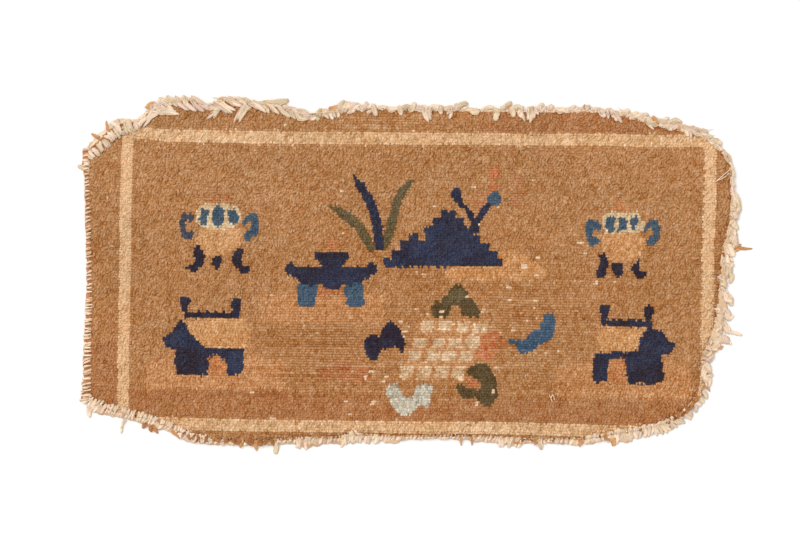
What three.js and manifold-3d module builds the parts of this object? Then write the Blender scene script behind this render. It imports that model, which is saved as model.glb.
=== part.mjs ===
// A small hand-knotted Chinese rug lying flat: a cloth with short wool pile, worn lower in its middle,
// and four edges of cotton: warp ends along both long sides, puckered locks at the right and a
// whip-stitched selvedge at the left. Millimetres, +Z up, X along the long sides, +Y to the far side.
import * as THREE from "three";
import Module from "manifold-3d";

const wasm = await Module();
wasm.setup();

// The cloth's thickness, pile and foundation together.
const FULL_PILE = 7;
const EDGE_THICKNESS = 4.6;
const EDGE_SLOPE = 5;

// The gentle unevenness of the pile: its height, and the lengths of its waves along X and Y.
const UNEVENNESS = 0.35;
const LONG_WAVE = { x: 31, y: 24 };
const FINE_WAVE = { x: 13, y: 17 };

// The cloth's top is a grid with this many cells along each way.
const CELLS_LONG = 46;
const CELLS_SHORT = 22;

// The narrow strip that each side's yarn grows from, parted from the cloth.
const STRIP_GAP = 0.3;
const STRIP_WIDTH = 2.6;
const STRIP_HEIGHT = 3.4;

// A lock's root lies this share of the way across its strip, its widest place this share of the way
// to its tip, and its upper face is this share of its lower one.
const ROOT_SHARE = 0.35;
const BELLY_SHARE = 0.55;
const UPPER_SHARE = 0.6;

// A turned-in lock: how far it stays above the pile, and its thickness at its bend, belly and tip.
const LOCK_OVER_PILE = 0.8;
const BEND_THICKNESS = 2;
const BELLY_THICKNESS = 1.6;
const TIP_THICKNESS = 0.9;

// The selvedge at the left: the height between its whip stitches, and how far they stand proud.
const SELVEDGE_HEIGHT = 4;
const STITCH_RELIEF = 0.7;

// The cloth's outline as worn, one table a side. The sides follow each other round the rug, from the
// near left corner along the near side, and each ends at the corner where the next begins.
const NEAR_LEFT = { x: -323, y: -128 };
const NEAR_RIGHT = { x: 268.5, y: -140 };
const FAR_RIGHT = { x: 304.5, y: 124 };
const FAR_LEFT = { x: -323, y: 124 };

const NEAR_OUTLINE = [
  NEAR_LEFT,
  { x: -308, y: -134 },
  { x: -287, y: -140 },
  { x: -257, y: -148 },
  { x: -234, y: -158 },
  { x: -217, y: -166 },
  { x: -187, y: -168 },
  { x: -150, y: -168 },
  { x: -122, y: -165 },
  { x: -82, y: -164 },
  { x: -54, y: -161 },
  { x: -12, y: -163 },
  { x: 38, y: -162 },
  { x: 88, y: -164 },
  { x: 128, y: -166 },
  { x: 172, y: -165 },
  { x: 200, y: -160 },
  { x: 226, y: -156 },
  { x: 250, y: -150 },
  NEAR_RIGHT,
];
const RIGHT_OUTLINE = [
  NEAR_RIGHT,
  { x: 280.5, y: -127 },
  { x: 287.5, y: -111 },
  { x: 289.5, y: -93 },
  { x: 293.5, y: -77 },
  { x: 299.5, y: -60 },
  { x: 303.5, y: -42 },
  { x: 306.5, y: -17 },
  { x: 308.5, y: 11 },
  { x: 311.5, y: 30 },
  { x: 316.5, y: 51 },
  { x: 318.5, y: 73 },
  { x: 317.5, y: 98 },
  { x: 314.5, y: 116 },
  FAR_RIGHT,
];
const FAR_OUTLINE = [
  FAR_RIGHT,
  { x: 294, y: 133 },
  { x: 278, y: 140 },
  { x: 243, y: 147 },
  { x: 218, y: 155 },
  { x: 188, y: 160 },
  { x: 148, y: 161 },
  { x: 88, y: 161 },
  { x: 38, y: 162 },
  { x: -47, y: 163 },
  { x: -72, y: 161 },
  { x: -92, y: 156 },
  { x: -112, y: 155 },
  { x: -123, y: 159 },
  { x: -131, y: 165 },
  { x: -143, y: 169 },
  { x: -161, y: 168 },
  { x: -175, y: 173 },
  { x: -191, y: 171 },
  { x: -206, y: 166 },
  { x: -223, y: 172 },
  { x: -237, y: 171 },
  { x: -250, y: 168 },
  { x: -260, y: 164 },
  { x: -267, y: 157 },
  { x: -277, y: 151 },
  { x: -294, y: 149 },
  { x: -307, y: 139 },
  { x: -316, y: 131 },
  FAR_LEFT,
];
const LEFT_OUTLINE = [
  FAR_LEFT,
  { x: -324.5, y: 108 },
  { x: -323.5, y: 73 },
  { x: -322.5, y: 33 },
  { x: -321.5, y: -17 },
  { x: -322.5, y: -67 },
  { x: -322.5, y: -102 },
  NEAR_LEFT,
];

// How far the cotton stands out from the cloth at places along a side: x on the long sides, y on the
// short ones.
const NEAR_REACH = [
  { at: -320, out: 10 },
  { at: -302, out: 8 },
  { at: -272, out: 6 },
  { at: -257, out: 9 },
  { at: -242, out: 5 },
  { at: -232, out: 7 },
  { at: -207, out: 4 },
  { at: -172, out: 5 },
  { at: -127, out: 6 },
  { at: -107, out: 11 },
  { at: -82, out: 7 },
  { at: -67, out: 9 },
  { at: -57, out: 6 },
  { at: -22, out: 8 },
  { at: -2, out: 4 },
  { at: 37, out: 4.5 },
  { at: 68, out: 6.5 },
  { at: 103, out: 8.5 },
  { at: 118, out: 4.5 },
  { at: 147, out: 5.5 },
  { at: 167, out: 7.5 },
  { at: 188, out: 6 },
  { at: 203, out: 12 },
  { at: 213, out: 11 },
  { at: 228, out: 7 },
  { at: 258, out: 9 },
];
const RIGHT_REACH = [
  { at: -140, out: 8.5 },
  { at: -120, out: 8.5 },
  { at: -96, out: 10.5 },
  { at: -88, out: 5 },
  { at: -82, out: 9 },
  { at: -72, out: 20 },
  { at: -60, out: 19 },
  { at: -50, out: 16 },
  { at: -28, out: 16.5 },
  { at: -16, out: 9 },
  { at: 10, out: 15 },
  { at: 36, out: 13.5 },
  { at: 68, out: 12.5 },
  { at: 82, out: 7 },
  { at: 98, out: 4.5 },
  { at: 124, out: 7 },
];
const FAR_REACH = [
  { at: -322, out: 6 },
  { at: -294, out: 7 },
  { at: -277, out: 4.5 },
  { at: -140, out: 5 },
  { at: -126, out: 8 },
  { at: -112, out: 5 },
  { at: -84, out: 7 },
  { at: -64, out: 12 },
  { at: -42, out: 6 },
  { at: -12, out: 4.5 },
  { at: 3, out: 8 },
  { at: 48, out: 7 },
  { at: 68, out: 4.5 },
  { at: 86, out: 4.5 },
  { at: 103, out: 8 },
  { at: 112, out: 4.5 },
  { at: 136, out: 8 },
  { at: 148, out: 5 },
  { at: 168, out: 7.5 },
  { at: 198, out: 4.5 },
  { at: 213, out: 8.5 },
  { at: 248, out: 11 },
  { at: 284, out: 10 },
  { at: 304, out: 11 },
];
const LEFT_REACH = [
  { at: -126, out: 9.5 },
  { at: -106, out: 7.5 },
  { at: -66, out: 6.5 },
  { at: -6, out: 4.8 },
  { at: 94, out: 4.4 },
  { at: 124, out: 7 },
];

// Single ends that stand out past their neighbours: the place, the length from the cloth, the lean
// along the side in degrees and the width. A lean is positive the way round that the outline runs.
const NEAR_ENDS = [
  { at: -317, length: 10, lean: -45, width: 6 },
  { at: -312, length: 14, lean: -12, width: 4 },
  { at: -289, length: 18, lean: 0, width: 4.5 },
  { at: -138, length: 15.5, lean: 0, width: 4 },
  { at: 58, length: 10.5, lean: 6, width: 4.5 },
  { at: 127, length: 11, lean: -5, width: 4 },
  { at: 263, length: 10, lean: 45, width: 6 },
];
const RIGHT_ENDS = [
  { at: -64, length: 30, lean: 4, width: 6 },
  { at: 25, length: 28.5, lean: 2, width: 5.5 },
];
const FAR_ENDS = [
  { at: 300, length: 9, lean: -45, width: 6 },
  { at: -133, length: 13, lean: -60, width: 7 },
  { at: -302, length: 11, lean: 12, width: 3.5 },
  { at: -316, length: 12, lean: 10, width: 4 },
  { at: -320, length: 9, lean: 50, width: 5 },
];
const LEFT_END = { at: 107, length: 15, lean: 4, width: 5 };

// Locks of the far side that are turned in and lie over the pile: the place, how far in the tip lies,
// the lean and the width. They lie close together over the stretch at the left.
const TURNED_IN = [
  { at: 202, reach: 8, lean: 30, width: 5 },
  { at: 119, reach: 10, lean: -14, width: 5 },
  { at: 111, reach: 15, lean: 3, width: 4 },
  { at: 97, reach: 7, lean: 20, width: 6 },
  { at: 84, reach: 9, lean: -8, width: 5 },
  { at: 37, reach: 8, lean: 6, width: 6 },
  { at: 14, reach: 14, lean: -4, width: 7 },
  { at: -76, reach: 7, lean: -10, width: 7 },
];
const TURNED_STRETCH = { from: -138, to: -316, count: 20, reach: 12, lean: 42, width: 8 };

// Places where the pile is worn low: centre, half sizes and depth of wear.
const WORN_PLACES = [
  { x: 40, y: -60, halfX: 110, halfY: 60, depth: 1.6 },
  { x: -40, y: -115, halfX: 120, halfY: 40, depth: 1.1 },
  { x: 110, y: 0, halfX: 90, halfY: 45, depth: 1.0 },
  { x: -110, y: -10, halfX: 80, halfY: 45, depth: 0.8 },
];

const woolLook = new THREE.MeshStandardMaterial({ color: 0xb07e50, roughness: 0.95, metalness: 0 });
const cottonLook = new THREE.MeshStandardMaterial({ color: 0xe6d3bd, roughness: 0.95, metalness: 0 });

const leanShift = (lean) => Math.tan(THREE.MathUtils.degToRad(lean));

// A steady unevenness between -1 and 1 for the item with this number.
function wobble(number) {
  return Math.sin(number * 2.4) * 0.6 + Math.sin(number * 5.1 + 1.3) * 0.4;
}

// How far the cotton stands out at this place, from a table ordered by its column `at`.
function reachAt(table, at) {
  const next = table.findIndex((row) => row.at > at);
  if (next === 0) return table[0].out;
  if (next < 0) return table.at(-1).out;
  const [before, after] = [table[next - 1], table[next]];
  return THREE.MathUtils.mapLinear(at, before.at, after.at, before.out, after.out);
}

function pileHeight(x, y) {
  const wear = WORN_PLACES.map((place) => {
    const away = ((x - place.x) / place.halfX) ** 2 + ((y - place.y) / place.halfY) ** 2;
    return place.depth * Math.exp(-away);
  });
  const long = Math.sin(x / LONG_WAVE.x + 1) * Math.cos(y / LONG_WAVE.y);
  const fine = Math.sin(x / FINE_WAVE.x + y / FINE_WAVE.y) / 2;
  return FULL_PILE - Math.max(...wear) + UNEVENNESS * (long + fine);
}

// The points of one side of the cloth: a narrow cell at each end for the slope, equal ones between.
function sidePoints(outline, cells) {
  const curve = new THREE.SplineCurve(outline.map((row) => new THREE.Vector2(row.x, row.y)));
  const slope = EDGE_SLOPE / curve.getLength();
  const inner = Array.from({ length: cells + 1 }, (_, i) => slope + ((1 - 2 * slope) * i) / cells);
  return [0, ...inner, 1].map((share) => curve.getPointAt(share));
}

const nearPoints = sidePoints(NEAR_OUTLINE, CELLS_LONG);
const rightPoints = sidePoints(RIGHT_OUTLINE, CELLS_SHORT);
const farPoints = sidePoints(FAR_OUTLINE, CELLS_LONG);
const leftPoints = sidePoints(LEFT_OUTLINE, CELLS_SHORT);

// The cloth's grid: each line runs from left to right, and its points are blended from the four sides.
function clothGrid() {
  const far = farPoints.toReversed();
  const left = leftPoints.toReversed();
  return left.map((leftPoint, row) => {
    const v = row / (left.length - 1);
    return far.map((farPoint, column) => {
      const u = column / (far.length - 1);
      return new THREE.Vector2()
        .addScaledVector(nearPoints[column], 1 - v)
        .addScaledVector(farPoint, v)
        .addScaledVector(leftPoint, 1 - u)
        .addScaledVector(rightPoints[row], u)
        .addScaledVector(nearPoints[0], (u - 1) * (1 - v))
        .addScaledVector(nearPoints.at(-1), -u * (1 - v))
        .addScaledVector(far[0], (u - 1) * v)
        .addScaledVector(far.at(-1), -u * v);
    });
  });
}

function geometryOf(positions, triangles) {
  const geometry = new THREE.BufferGeometry();
  geometry.setAttribute("position", new THREE.Float32BufferAttribute(positions, 3));
  geometry.setIndex(triangles);
  geometry.computeVertexNormals();
  return geometry;
}

// The cloth: an uneven top on the grid, a wall round the outline and a flat underside.
function clothGeometry() {
  const grid = clothGrid();
  const lastRow = grid.length - 1;
  const lastColumn = grid[0].length - 1;
  const numberOf = (row, column) => row * (lastColumn + 1) + column;
  const positions = [];
  const triangles = [];
  grid.forEach((line, row) => {
    line.forEach((point, column) => {
      const onRim = row === 0 || row === lastRow || column === 0 || column === lastColumn;
      positions.push(point.x, point.y, onRim ? EDGE_THICKNESS : pileHeight(point.x, point.y));
    });
  });
  for (let row = 0; row < lastRow; row += 1) {
    for (let column = 0; column < lastColumn; column += 1) {
      const [a, b] = [numberOf(row, column), numberOf(row, column + 1)];
      const [c, d] = [numberOf(row + 1, column + 1), numberOf(row + 1, column)];
      triangles.push(a, b, c, a, c, d);
    }
  }
  const rim = [];
  for (let column = 0; column < lastColumn; column += 1) rim.push(numberOf(0, column));
  for (let row = 0; row < lastRow; row += 1) rim.push(numberOf(row, lastColumn));
  for (let column = lastColumn; column > 0; column -= 1) rim.push(numberOf(lastRow, column));
  for (let row = lastRow; row > 0; row -= 1) rim.push(numberOf(row, 0));
  const under = positions.length / 3;
  const outline = rim.map((upper) => new THREE.Vector2(positions[3 * upper], positions[3 * upper + 1]));
  outline.forEach((point) => positions.push(point.x, point.y, 0));
  rim.forEach((upper, i) => {
    const next = (i + 1) % rim.length;
    triangles.push(upper, under + i, under + next, upper, under + next, rim[next]);
  });
  for (const [a, b, c] of THREE.ShapeUtils.triangulateShape(outline, [])) {
    triangles.push(under + a, under + c, under + b);
  }
  return geometryOf(positions, triangles);
}

// A closed solid through rings of four points each. A ring runs anticlockwise seen from the next one.
function loft(rings) {
  const positions = rings.flat().flatMap((point) => point.toArray());
  const triangles = [];
  for (let ring = 0; ring < rings.length - 1; ring += 1) {
    for (let corner = 0; corner < 4; corner += 1) {
      const a = 4 * ring + corner;
      const b = 4 * ring + ((corner + 1) % 4);
      triangles.push(a, b, b + 4, a, b + 4, a + 4);
    }
  }
  const last = 4 * (rings.length - 1);
  triangles.push(0, 2, 1, 0, 3, 2);
  triangles.push(last, last + 1, last + 2, last, last + 2, last + 3);
  return geometryOf(positions, triangles);
}

function solidOf(geometry) {
  const mesh = new wasm.Mesh({
    numProp: 3,
    vertProperties: new Float32Array(geometry.attributes.position.array),
    triVerts: new Uint32Array(geometry.index.array),
  });
  return new wasm.Manifold(mesh);
}

// All pieces joined into one solid.
function joined(geometries) {
  const [first, ...others] = geometries.map(solidOf);
  const mesh = others.reduce((sum, piece) => sum.add(piece), first).getMesh();
  return geometryOf(Array.from(mesh.vertProperties), Array.from(mesh.triVerts));
}

// A side as its cotton sees it: the cloth's points without the corners, each with the direction
// along the side and the one that leads out from the cloth.
function edgeOf(points) {
  return points.slice(1, -1).map((point, i) => {
    const before = point.clone().sub(points[i]).normalize();
    const after = points[i + 2].clone().sub(point).normalize();
    const along = before.add(after).normalize();
    return { point, along, outward: new THREE.Vector2(along.y, -along.x) };
  });
}

function between(a, b, share) {
  return {
    point: a.point.clone().lerp(b.point, share),
    along: a.along.clone().lerp(b.along, share).normalize(),
    outward: a.outward.clone().lerp(b.outward, share).normalize(),
  };
}

// The place on an edge where the coordinate `axis` has the value `at`, or the edge's end nearest to it.
function placeAt(edge, axis, at) {
  const values = edge.map((spot) => spot.point[axis]);
  const within = THREE.MathUtils.clamp(at, Math.min(...values), Math.max(...values));
  const next = values.findIndex((value, i) => i > 0 && (values[i - 1] - within) * (value - within) <= 0);
  const share = (within - values[next - 1]) / (values[next] - values[next - 1]);
  return between(edge[next - 1], edge[next], share);
}

// Places an equal step apart along an edge.
function spreadPlaces(edge, count) {
  const run = [0];
  edge.slice(1).forEach((spot, i) => run.push(run[i] + spot.point.distanceTo(edge[i].point)));
  return Array.from({ length: count }, (_, i) => {
    const want = ((i + 0.5) / count) * run.at(-1);
    const next = run.findIndex((length) => length > want);
    const share = (want - run[next - 1]) / (run[next] - run[next - 1]);
    return between(edge[next - 1], edge[next], share);
  });
}

// The point at a place that lies so far out from the cloth, so far along the side and so high.
function pointFrom(place, out, along, height) {
  const flat = place.point.clone().addScaledVector(place.outward, out).addScaledVector(place.along, along);
  return new THREE.Vector3(flat.x, flat.y, height);
}

// A ring across a lock that leads outward: the lower pair, then the upper pair, which is narrower.
function lockRing(place, { out, along, width, low, high }) {
  const half = width / 2;
  const upper = half * UPPER_SHARE;
  return [
    pointFrom(place, out, along - half, low),
    pointFrom(place, out, along + half, low),
    pointFrom(place, out, along + upper, high),
    pointFrom(place, out, along - upper, high),
  ];
}

// A lock that lies on the floor, from inside the strip out to its tip.
function floorLock(place, { length, width, height, lean, sway }) {
  const root = STRIP_GAP + STRIP_WIDTH * ROOT_SHARE;
  const run = length - root;
  const aside = run * leanShift(lean);
  const belly = { out: root + run * BELLY_SHARE, along: aside * BELLY_SHARE + sway };
  return loft([
    lockRing(place, { out: root, along: 0, width: width * 0.8, low: 0, high: STRIP_HEIGHT * 0.85 }),
    lockRing(place, { ...belly, width, low: 0, high: height }),
    lockRing(place, { out: length, along: aside, width: width * 0.3, low: 0, high: height * 0.35 }),
  ]);
}

// A lock that rises from the strip and lies in over the pile.
function turnedInLock(place, { reach, width, lean }) {
  const ringOver = (inward, share, thickness) => {
    const along = inward * leanShift(lean);
    const spot = pointFrom(place, -inward, along, 0);
    const under = pileHeight(spot.x, spot.y) + UNEVENNESS + LOCK_OVER_PILE;
    const size = { width: -width * share, low: under, high: under + thickness };
    return lockRing(place, { out: -inward, along, ...size });
  };
  const root = { out: STRIP_GAP + STRIP_WIDTH * (1 - ROOT_SHARE / 2), low: STRIP_HEIGHT * 0.2 };
  const overEdge = { out: STRIP_GAP, low: EDGE_THICKNESS + LOCK_OVER_PILE };
  return loft([
    lockRing(place, { ...root, along: 0, width: -width * 0.7, high: STRIP_HEIGHT * 0.85 }),
    lockRing(place, { ...overEdge, along: 0, width: -width * 0.8, high: overEdge.low + BEND_THICKNESS }),
    ringOver(Math.min(EDGE_SLOPE, reach * BELLY_SHARE), 1, BELLY_THICKNESS),
    ringOver(reach, 0.35, TIP_THICKNESS),
  ]);
}

// The selvedge: a strip whose whip stitches are slanting ribs, with a ring on each crest and valley.
function ribbedStrip(edge, { axis, reach, count, slant }) {
  return loft(
    spreadPlaces(edge, 2 * count).map((place, i) => {
      const lift = i % 2 === 0 ? STITCH_RELIEF : 0;
      const outer = reachAt(reach, place.point[axis]) - STITCH_RELIEF + lift;
      return [
        pointFrom(place, STRIP_GAP, slant, SELVEDGE_HEIGHT + lift),
        pointFrom(place, outer, 0, SELVEDGE_HEIGHT * 0.8 + lift),
        pointFrom(place, outer, 0, 0),
        pointFrom(place, STRIP_GAP, slant, 0),
      ];
    }),
  );
}

// The strip that a fringe's locks grow from.
function strip(edge) {
  const outer = STRIP_GAP + STRIP_WIDTH;
  return loft(
    edge.map((spot) => {
      return [
        pointFrom(spot, STRIP_GAP, 0, STRIP_HEIGHT),
        pointFrom(spot, outer - 0.4, 0, STRIP_HEIGHT * 0.85),
        pointFrom(spot, outer, 0, 0),
        pointFrom(spot, STRIP_GAP, 0, 0),
      ];
    }),
  );
}

function namedMesh(name, geometry, material) {
  const mesh = new THREE.Mesh(geometry, material);
  mesh.name = name;
  return mesh;
}

// A fringe of floor locks, with its single ends and its turned-in locks.
function fringe(name, { points, axis, reach, count, width, height, lean, ends, turnedIn }) {
  const edge = edgeOf(points);
  const locks = spreadPlaces(edge, count).map((place, i) => {
    const out = reachAt(reach, place.point[axis]) * (1 + 0.12 * wobble(i));
    return floorLock(place, {
      length: Math.max(out, STRIP_GAP + STRIP_WIDTH + 1),
      width: width * (1 + 0.15 * wobble(i + 40)),
      height: height * (1 + 0.15 * wobble(i + 80)),
      lean: lean * wobble(i + 120),
      sway: 0.5 * wobble(i + 160),
    });
  });
  const single = ends.map((row) => {
    return floorLock(placeAt(edge, axis, row.at), { ...row, height: height * 0.8, sway: 0 });
  });
  const turned = turnedIn.map((row) => turnedInLock(placeAt(edge, axis, row.at), row));
  return namedMesh(name, joined([strip(edge), ...locks, ...single, ...turned]), cottonLook);
}

// The whip-stitched selvedge with its one loose end.
function overcast(name, { points, axis, end, ...stitching }) {
  const edge = edgeOf(points);
  const loose = floorLock(placeAt(edge, axis, end.at), { ...end, height: 2, sway: 0 });
  return namedMesh(name, joined([ribbedStrip(edge, { axis, ...stitching }), loose]), cottonLook);
}

// The rows of the close turned-in locks, in the form of TURNED_IN.
function stretchRows({ from, to, count, reach, lean, width }) {
  return Array.from({ length: count }, (_, i) => ({
    at: THREE.MathUtils.lerp(from, to, i / (count - 1)),
    reach: reach * (1 + 0.25 * wobble(i + 7)),
    lean: lean * wobble(i + 19),
    width: width * (1 + 0.15 * wobble(i + 31)),
  }));
}

const rug = new THREE.Group();
rug.add(namedMesh("rug_cloth", clothGeometry(), woolLook));
rug.add(
  fringe("fringe_near", {
    points: nearPoints,
    axis: "x",
    reach: NEAR_REACH,
    count: 80,
    width: 4.4,
    height: 2.8,
    lean: 12,
    ends: NEAR_ENDS,
    turnedIn: [],
  }),
);
rug.add(
  fringe("fringe_right", {
    points: rightPoints,
    axis: "y",
    reach: RIGHT_REACH,
    count: 34,
    width: 7,
    height: 4.2,
    lean: 12,
    ends: RIGHT_ENDS,
    turnedIn: [],
  }),
);
rug.add(
  fringe("fringe_far", {
    points: farPoints,
    axis: "x",
    reach: FAR_REACH,
    count: 72,
    width: 5.6,
    height: 3.4,
    lean: 26,
    ends: FAR_ENDS,
    turnedIn: [...TURNED_IN, ...stretchRows(TURNED_STRETCH)],
  }),
);
rug.add(
  overcast("overcast_left", {
    points: leftPoints,
    axis: "y",
    reach: LEFT_REACH,
    count: 56,
    slant: 2.2,
    end: LEFT_END,
  }),
);

// The frame's origin lies under the middle of the whole rug.
const middle = new THREE.Box3().setFromObject(rug).getCenter(new THREE.Vector3());
rug.position.set(-middle.x, -middle.y, 0);

export default rug;
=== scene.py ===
"""A small hand-knotted rug lying flat: wool pile built tuft by tuft on a woven cotton ground, with
worn cotton edges. Metres, +X along the long sides, +Y to the far side, +Z up."""

import math

import bpy
import numpy as np
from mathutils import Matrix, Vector


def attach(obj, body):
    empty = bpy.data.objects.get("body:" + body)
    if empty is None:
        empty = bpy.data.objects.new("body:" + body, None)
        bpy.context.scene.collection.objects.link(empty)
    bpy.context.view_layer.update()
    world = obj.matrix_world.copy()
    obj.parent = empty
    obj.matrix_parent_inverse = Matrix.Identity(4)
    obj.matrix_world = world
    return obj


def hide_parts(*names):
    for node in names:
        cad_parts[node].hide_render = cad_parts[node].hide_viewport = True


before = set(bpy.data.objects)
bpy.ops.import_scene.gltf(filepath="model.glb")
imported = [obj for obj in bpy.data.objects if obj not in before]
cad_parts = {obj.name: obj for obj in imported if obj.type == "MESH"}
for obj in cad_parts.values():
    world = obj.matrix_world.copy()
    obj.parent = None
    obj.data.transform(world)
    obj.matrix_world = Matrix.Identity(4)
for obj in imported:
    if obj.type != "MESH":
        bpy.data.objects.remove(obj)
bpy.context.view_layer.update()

MM = 0.001

# The outline tables are in millimetres from the drawing's middle. The design is drawn in millimetres
# to the right of and down from the drawing's corner, as a knotting plan is.
OUTLINE_SHIFT = np.array([0.292, 2.633])
PLAN_CORNER = np.array([-412.208, 275.633])
PICTURE_MIDDLE = (400, 267)

# Heights in millimetres: the pile and its slow unevenness, the cloth at its edge and how far in the pile
# falls to it, the ground's two faces, and the matted feet of the tufts below their tips.
FULL_PILE = 7.0
WAVE_HEIGHT = 0.35
EDGE_THICKNESS = 4.6
EDGE_SLOPE = 5.0
GROUND_TOP = 2.6
GROUND_BOTTOM = 0.1
BED_DEPTH = 1.25

# The half knots and rows between the stripe's outer edges, those outside it at the sides, the far side
# and the near side, and about where on the plan that frame starts and how wide and deep it is.
HALF_KNOTS = 360
ROWS = 120
OUTER_HALVES, FAR_ROWS, NEAR_ROWS = 24, 16, 14
DESIGN_LEFT, DESIGN_FAR = 120, 130
DESIGN_WIDTH, DESIGN_DEPTH = 595, 300
HALF_PITCH, ROW_PITCH = DESIGN_WIDTH / HALF_KNOTS, DESIGN_DEPTH / ROWS

# The bare margin around a piece's UV map.
UV_MARGIN = 0.002


# Outline tables

NEAR_OUTLINE = [
    (-323, -128), (-308, -134), (-287, -140), (-257, -148), (-234, -158), (-217, -166), (-187, -168),
    (-150, -168), (-122, -165), (-82, -164), (-54, -161), (-12, -163), (38, -162), (88, -164), (128, -166),
    (172, -165), (200, -160), (226, -156), (250, -150), (268.5, -140),
]
RIGHT_OUTLINE = [
    (268.5, -140), (280.5, -127), (287.5, -111), (289.5, -93), (293.5, -77), (299.5, -60), (303.5, -42),
    (306.5, -17), (308.5, 11), (311.5, 30), (316.5, 51), (318.5, 73), (317.5, 98), (314.5, 116),
    (304.5, 124),
]
FAR_OUTLINE = [
    (304.5, 124), (294, 133), (278, 140), (243, 147), (218, 155), (188, 160), (148, 161), (88, 161),
    (38, 162), (-47, 163), (-72, 161), (-92, 156), (-112, 155), (-123, 159), (-131, 165), (-143, 169),
    (-161, 168), (-175, 173), (-191, 171), (-206, 166), (-223, 172), (-237, 171), (-250, 168), (-260, 164),
    (-267, 157), (-277, 151), (-294, 149), (-307, 139), (-316, 131), (-323, 124),
]
LEFT_OUTLINE = [
    (-323, 124), (-324.5, 108), (-323.5, 73), (-322.5, 33), (-321.5, -17), (-322.5, -67), (-322.5, -102),
    (-323, -128),
]

# How far the cotton stands out from the cloth: (place along the side, reach).
NEAR_REACH = [
    (-320, 10), (-302, 8), (-272, 6), (-257, 9), (-242, 5), (-232, 7), (-207, 4), (-172, 5), (-127, 6),
    (-107, 11), (-82, 7), (-67, 9), (-57, 6), (-22, 8), (-2, 4), (37, 4.5), (68, 6.5), (103, 8.5),
    (118, 4.5), (147, 5.5), (167, 7.5), (188, 6), (203, 12), (213, 11), (228, 7), (250, 6.5), (268, 6),
]
RIGHT_REACH = [
    (-140, 6), (-120, 6.5), (-106, 8), (-96, 9.5), (-88, 5), (-82, 9), (-72, 20), (-60, 19), (-50, 16),
    (-28, 16.5), (-16, 9), (10, 15), (36, 13.5), (68, 12.5), (82, 7), (98, 4.5), (124, 7),
]
FAR_REACH = [
    (-322, 6), (-294, 7), (-277, 4.5), (-140, 5), (-126, 8), (-112, 5), (-84, 7), (-64, 12), (-42, 6),
    (-12, 4.5), (3, 8), (48, 7), (68, 4.5), (86, 4.5), (103, 8), (112, 4.5), (136, 8), (148, 5), (168, 7.5),
    (198, 4.5), (213, 8.5), (248, 11), (284, 10), (304, 11),
]
LEFT_REACH = [(-126, 9.5), (-106, 7.5), (-66, 6.5), (-6, 4.8), (94, 4.4), (124, 7)]

# Matted locks of the cotton, from root to tip in plan millimetres: (x, y, x, y, width).
FAR_LOCKS = [
    (89, 171, 76, 166, 4), (90, 165, 82, 157, 5), (94, 158, 85, 151, 6), (99, 155, 90, 147, 5),
    (103, 151, 95, 141, 6), (109, 147, 101, 137, 5), (113, 141, 105, 133, 6), (119, 138, 111, 128, 6),
    (122, 135, 114, 119, 6), (127, 134, 121, 118, 6), (132, 133, 127, 120, 5), (137, 130, 134, 120, 5),
    (138, 126, 150, 117, 7), (163, 110, 140, 122, 7), (158, 107, 149, 120, 6), (161, 113, 178, 112, 6),
    (151, 113, 167, 103, 7), (151, 103, 166, 112, 6), (159, 99, 175, 110, 6), (167, 97, 183, 109, 6),
    (175, 97, 191, 110, 6), (183, 97, 199, 110, 6), (191, 98, 207, 110, 6), (199, 101, 213, 110, 5),
    (221, 99, 236, 109, 6), (213, 103, 232, 114, 8), (218, 104, 210, 122, 6), (207, 105, 223, 109, 6),
    (228, 98, 243, 108, 6), (236, 97, 251, 108, 6), (244, 99, 259, 110, 6), (249, 106, 235, 122, 8),
    (252, 101, 267, 111, 6), (260, 103, 275, 112, 6), (266, 102, 296, 100, 5), (270, 104, 285, 114, 6),
    (278, 106, 292, 116, 6), (286, 109, 300, 118, 6), (294, 111, 310, 118, 7), (304, 111, 316, 118, 5),
    (318, 111, 311, 122, 4), (320, 110, 318, 120, 5), (324, 109, 329, 119, 6), (331, 110, 337, 119, 8),
    (340, 113, 345, 101, 6), (346, 113, 354, 102, 6), (352, 112, 360, 103, 6), (359, 111, 368, 103, 6),
    (367, 111, 375, 104, 6), (373, 104, 376, 116, 5), (378, 107, 391, 109, 4), (388, 109, 402, 108, 4),
    (398, 106, 402, 115, 4), (403, 110, 412, 105, 5), (410, 110, 416, 103, 5), (416, 108, 425, 107, 5),
    (424, 107, 427, 123, 3), (428, 107, 428, 125, 3), (432, 107, 429, 121, 3), (429, 108, 439, 108, 5),
    (440, 105, 441, 114, 4), (446, 106, 449, 117, 3), (451, 106, 450, 119, 3), (454, 110, 460, 104, 5),
    (460, 109, 468, 104, 6), (469, 109, 483, 110, 4), (482, 111, 495, 110, 4), (494, 107, 497, 122, 5),
    (500, 111, 506, 106, 5), (506, 110, 514, 104, 7), (514, 109, 521, 105, 6), (510, 109, 513, 118, 5),
    (523, 106, 525, 127, 2.2), (520, 109, 522, 118, 4), (530, 107, 530, 123, 6), (534, 107, 537, 117, 6),
    (540, 111, 547, 104, 6), (548, 110, 555, 105, 5), (556, 109, 569, 109, 5), (570, 111, 578, 105, 6),
    (580, 110, 590, 106, 6), (590, 110, 600, 107, 5), (600, 108, 605, 118, 5), (609, 109, 610, 119, 6),
    (615, 110, 619, 123, 7), (621, 113, 631, 110, 5), (630, 117, 640, 111, 7), (640, 119, 649, 114, 7),
    (647, 117, 657, 129, 8), (660, 121, 671, 120, 8), (661, 127, 673, 128, 5), (671, 124, 683, 124, 7),
    (683, 128, 695, 126, 7), (687, 130, 690, 138, 6), (694, 129, 703, 132, 6), (700, 132, 709, 133, 6),
    (705, 136, 715, 139, 6), (711, 140, 719, 145, 5), (716, 145, 723, 151, 3.5), (721, 151, 728, 158, 3.5),
    (725, 156, 731, 163, 3),
]
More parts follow.
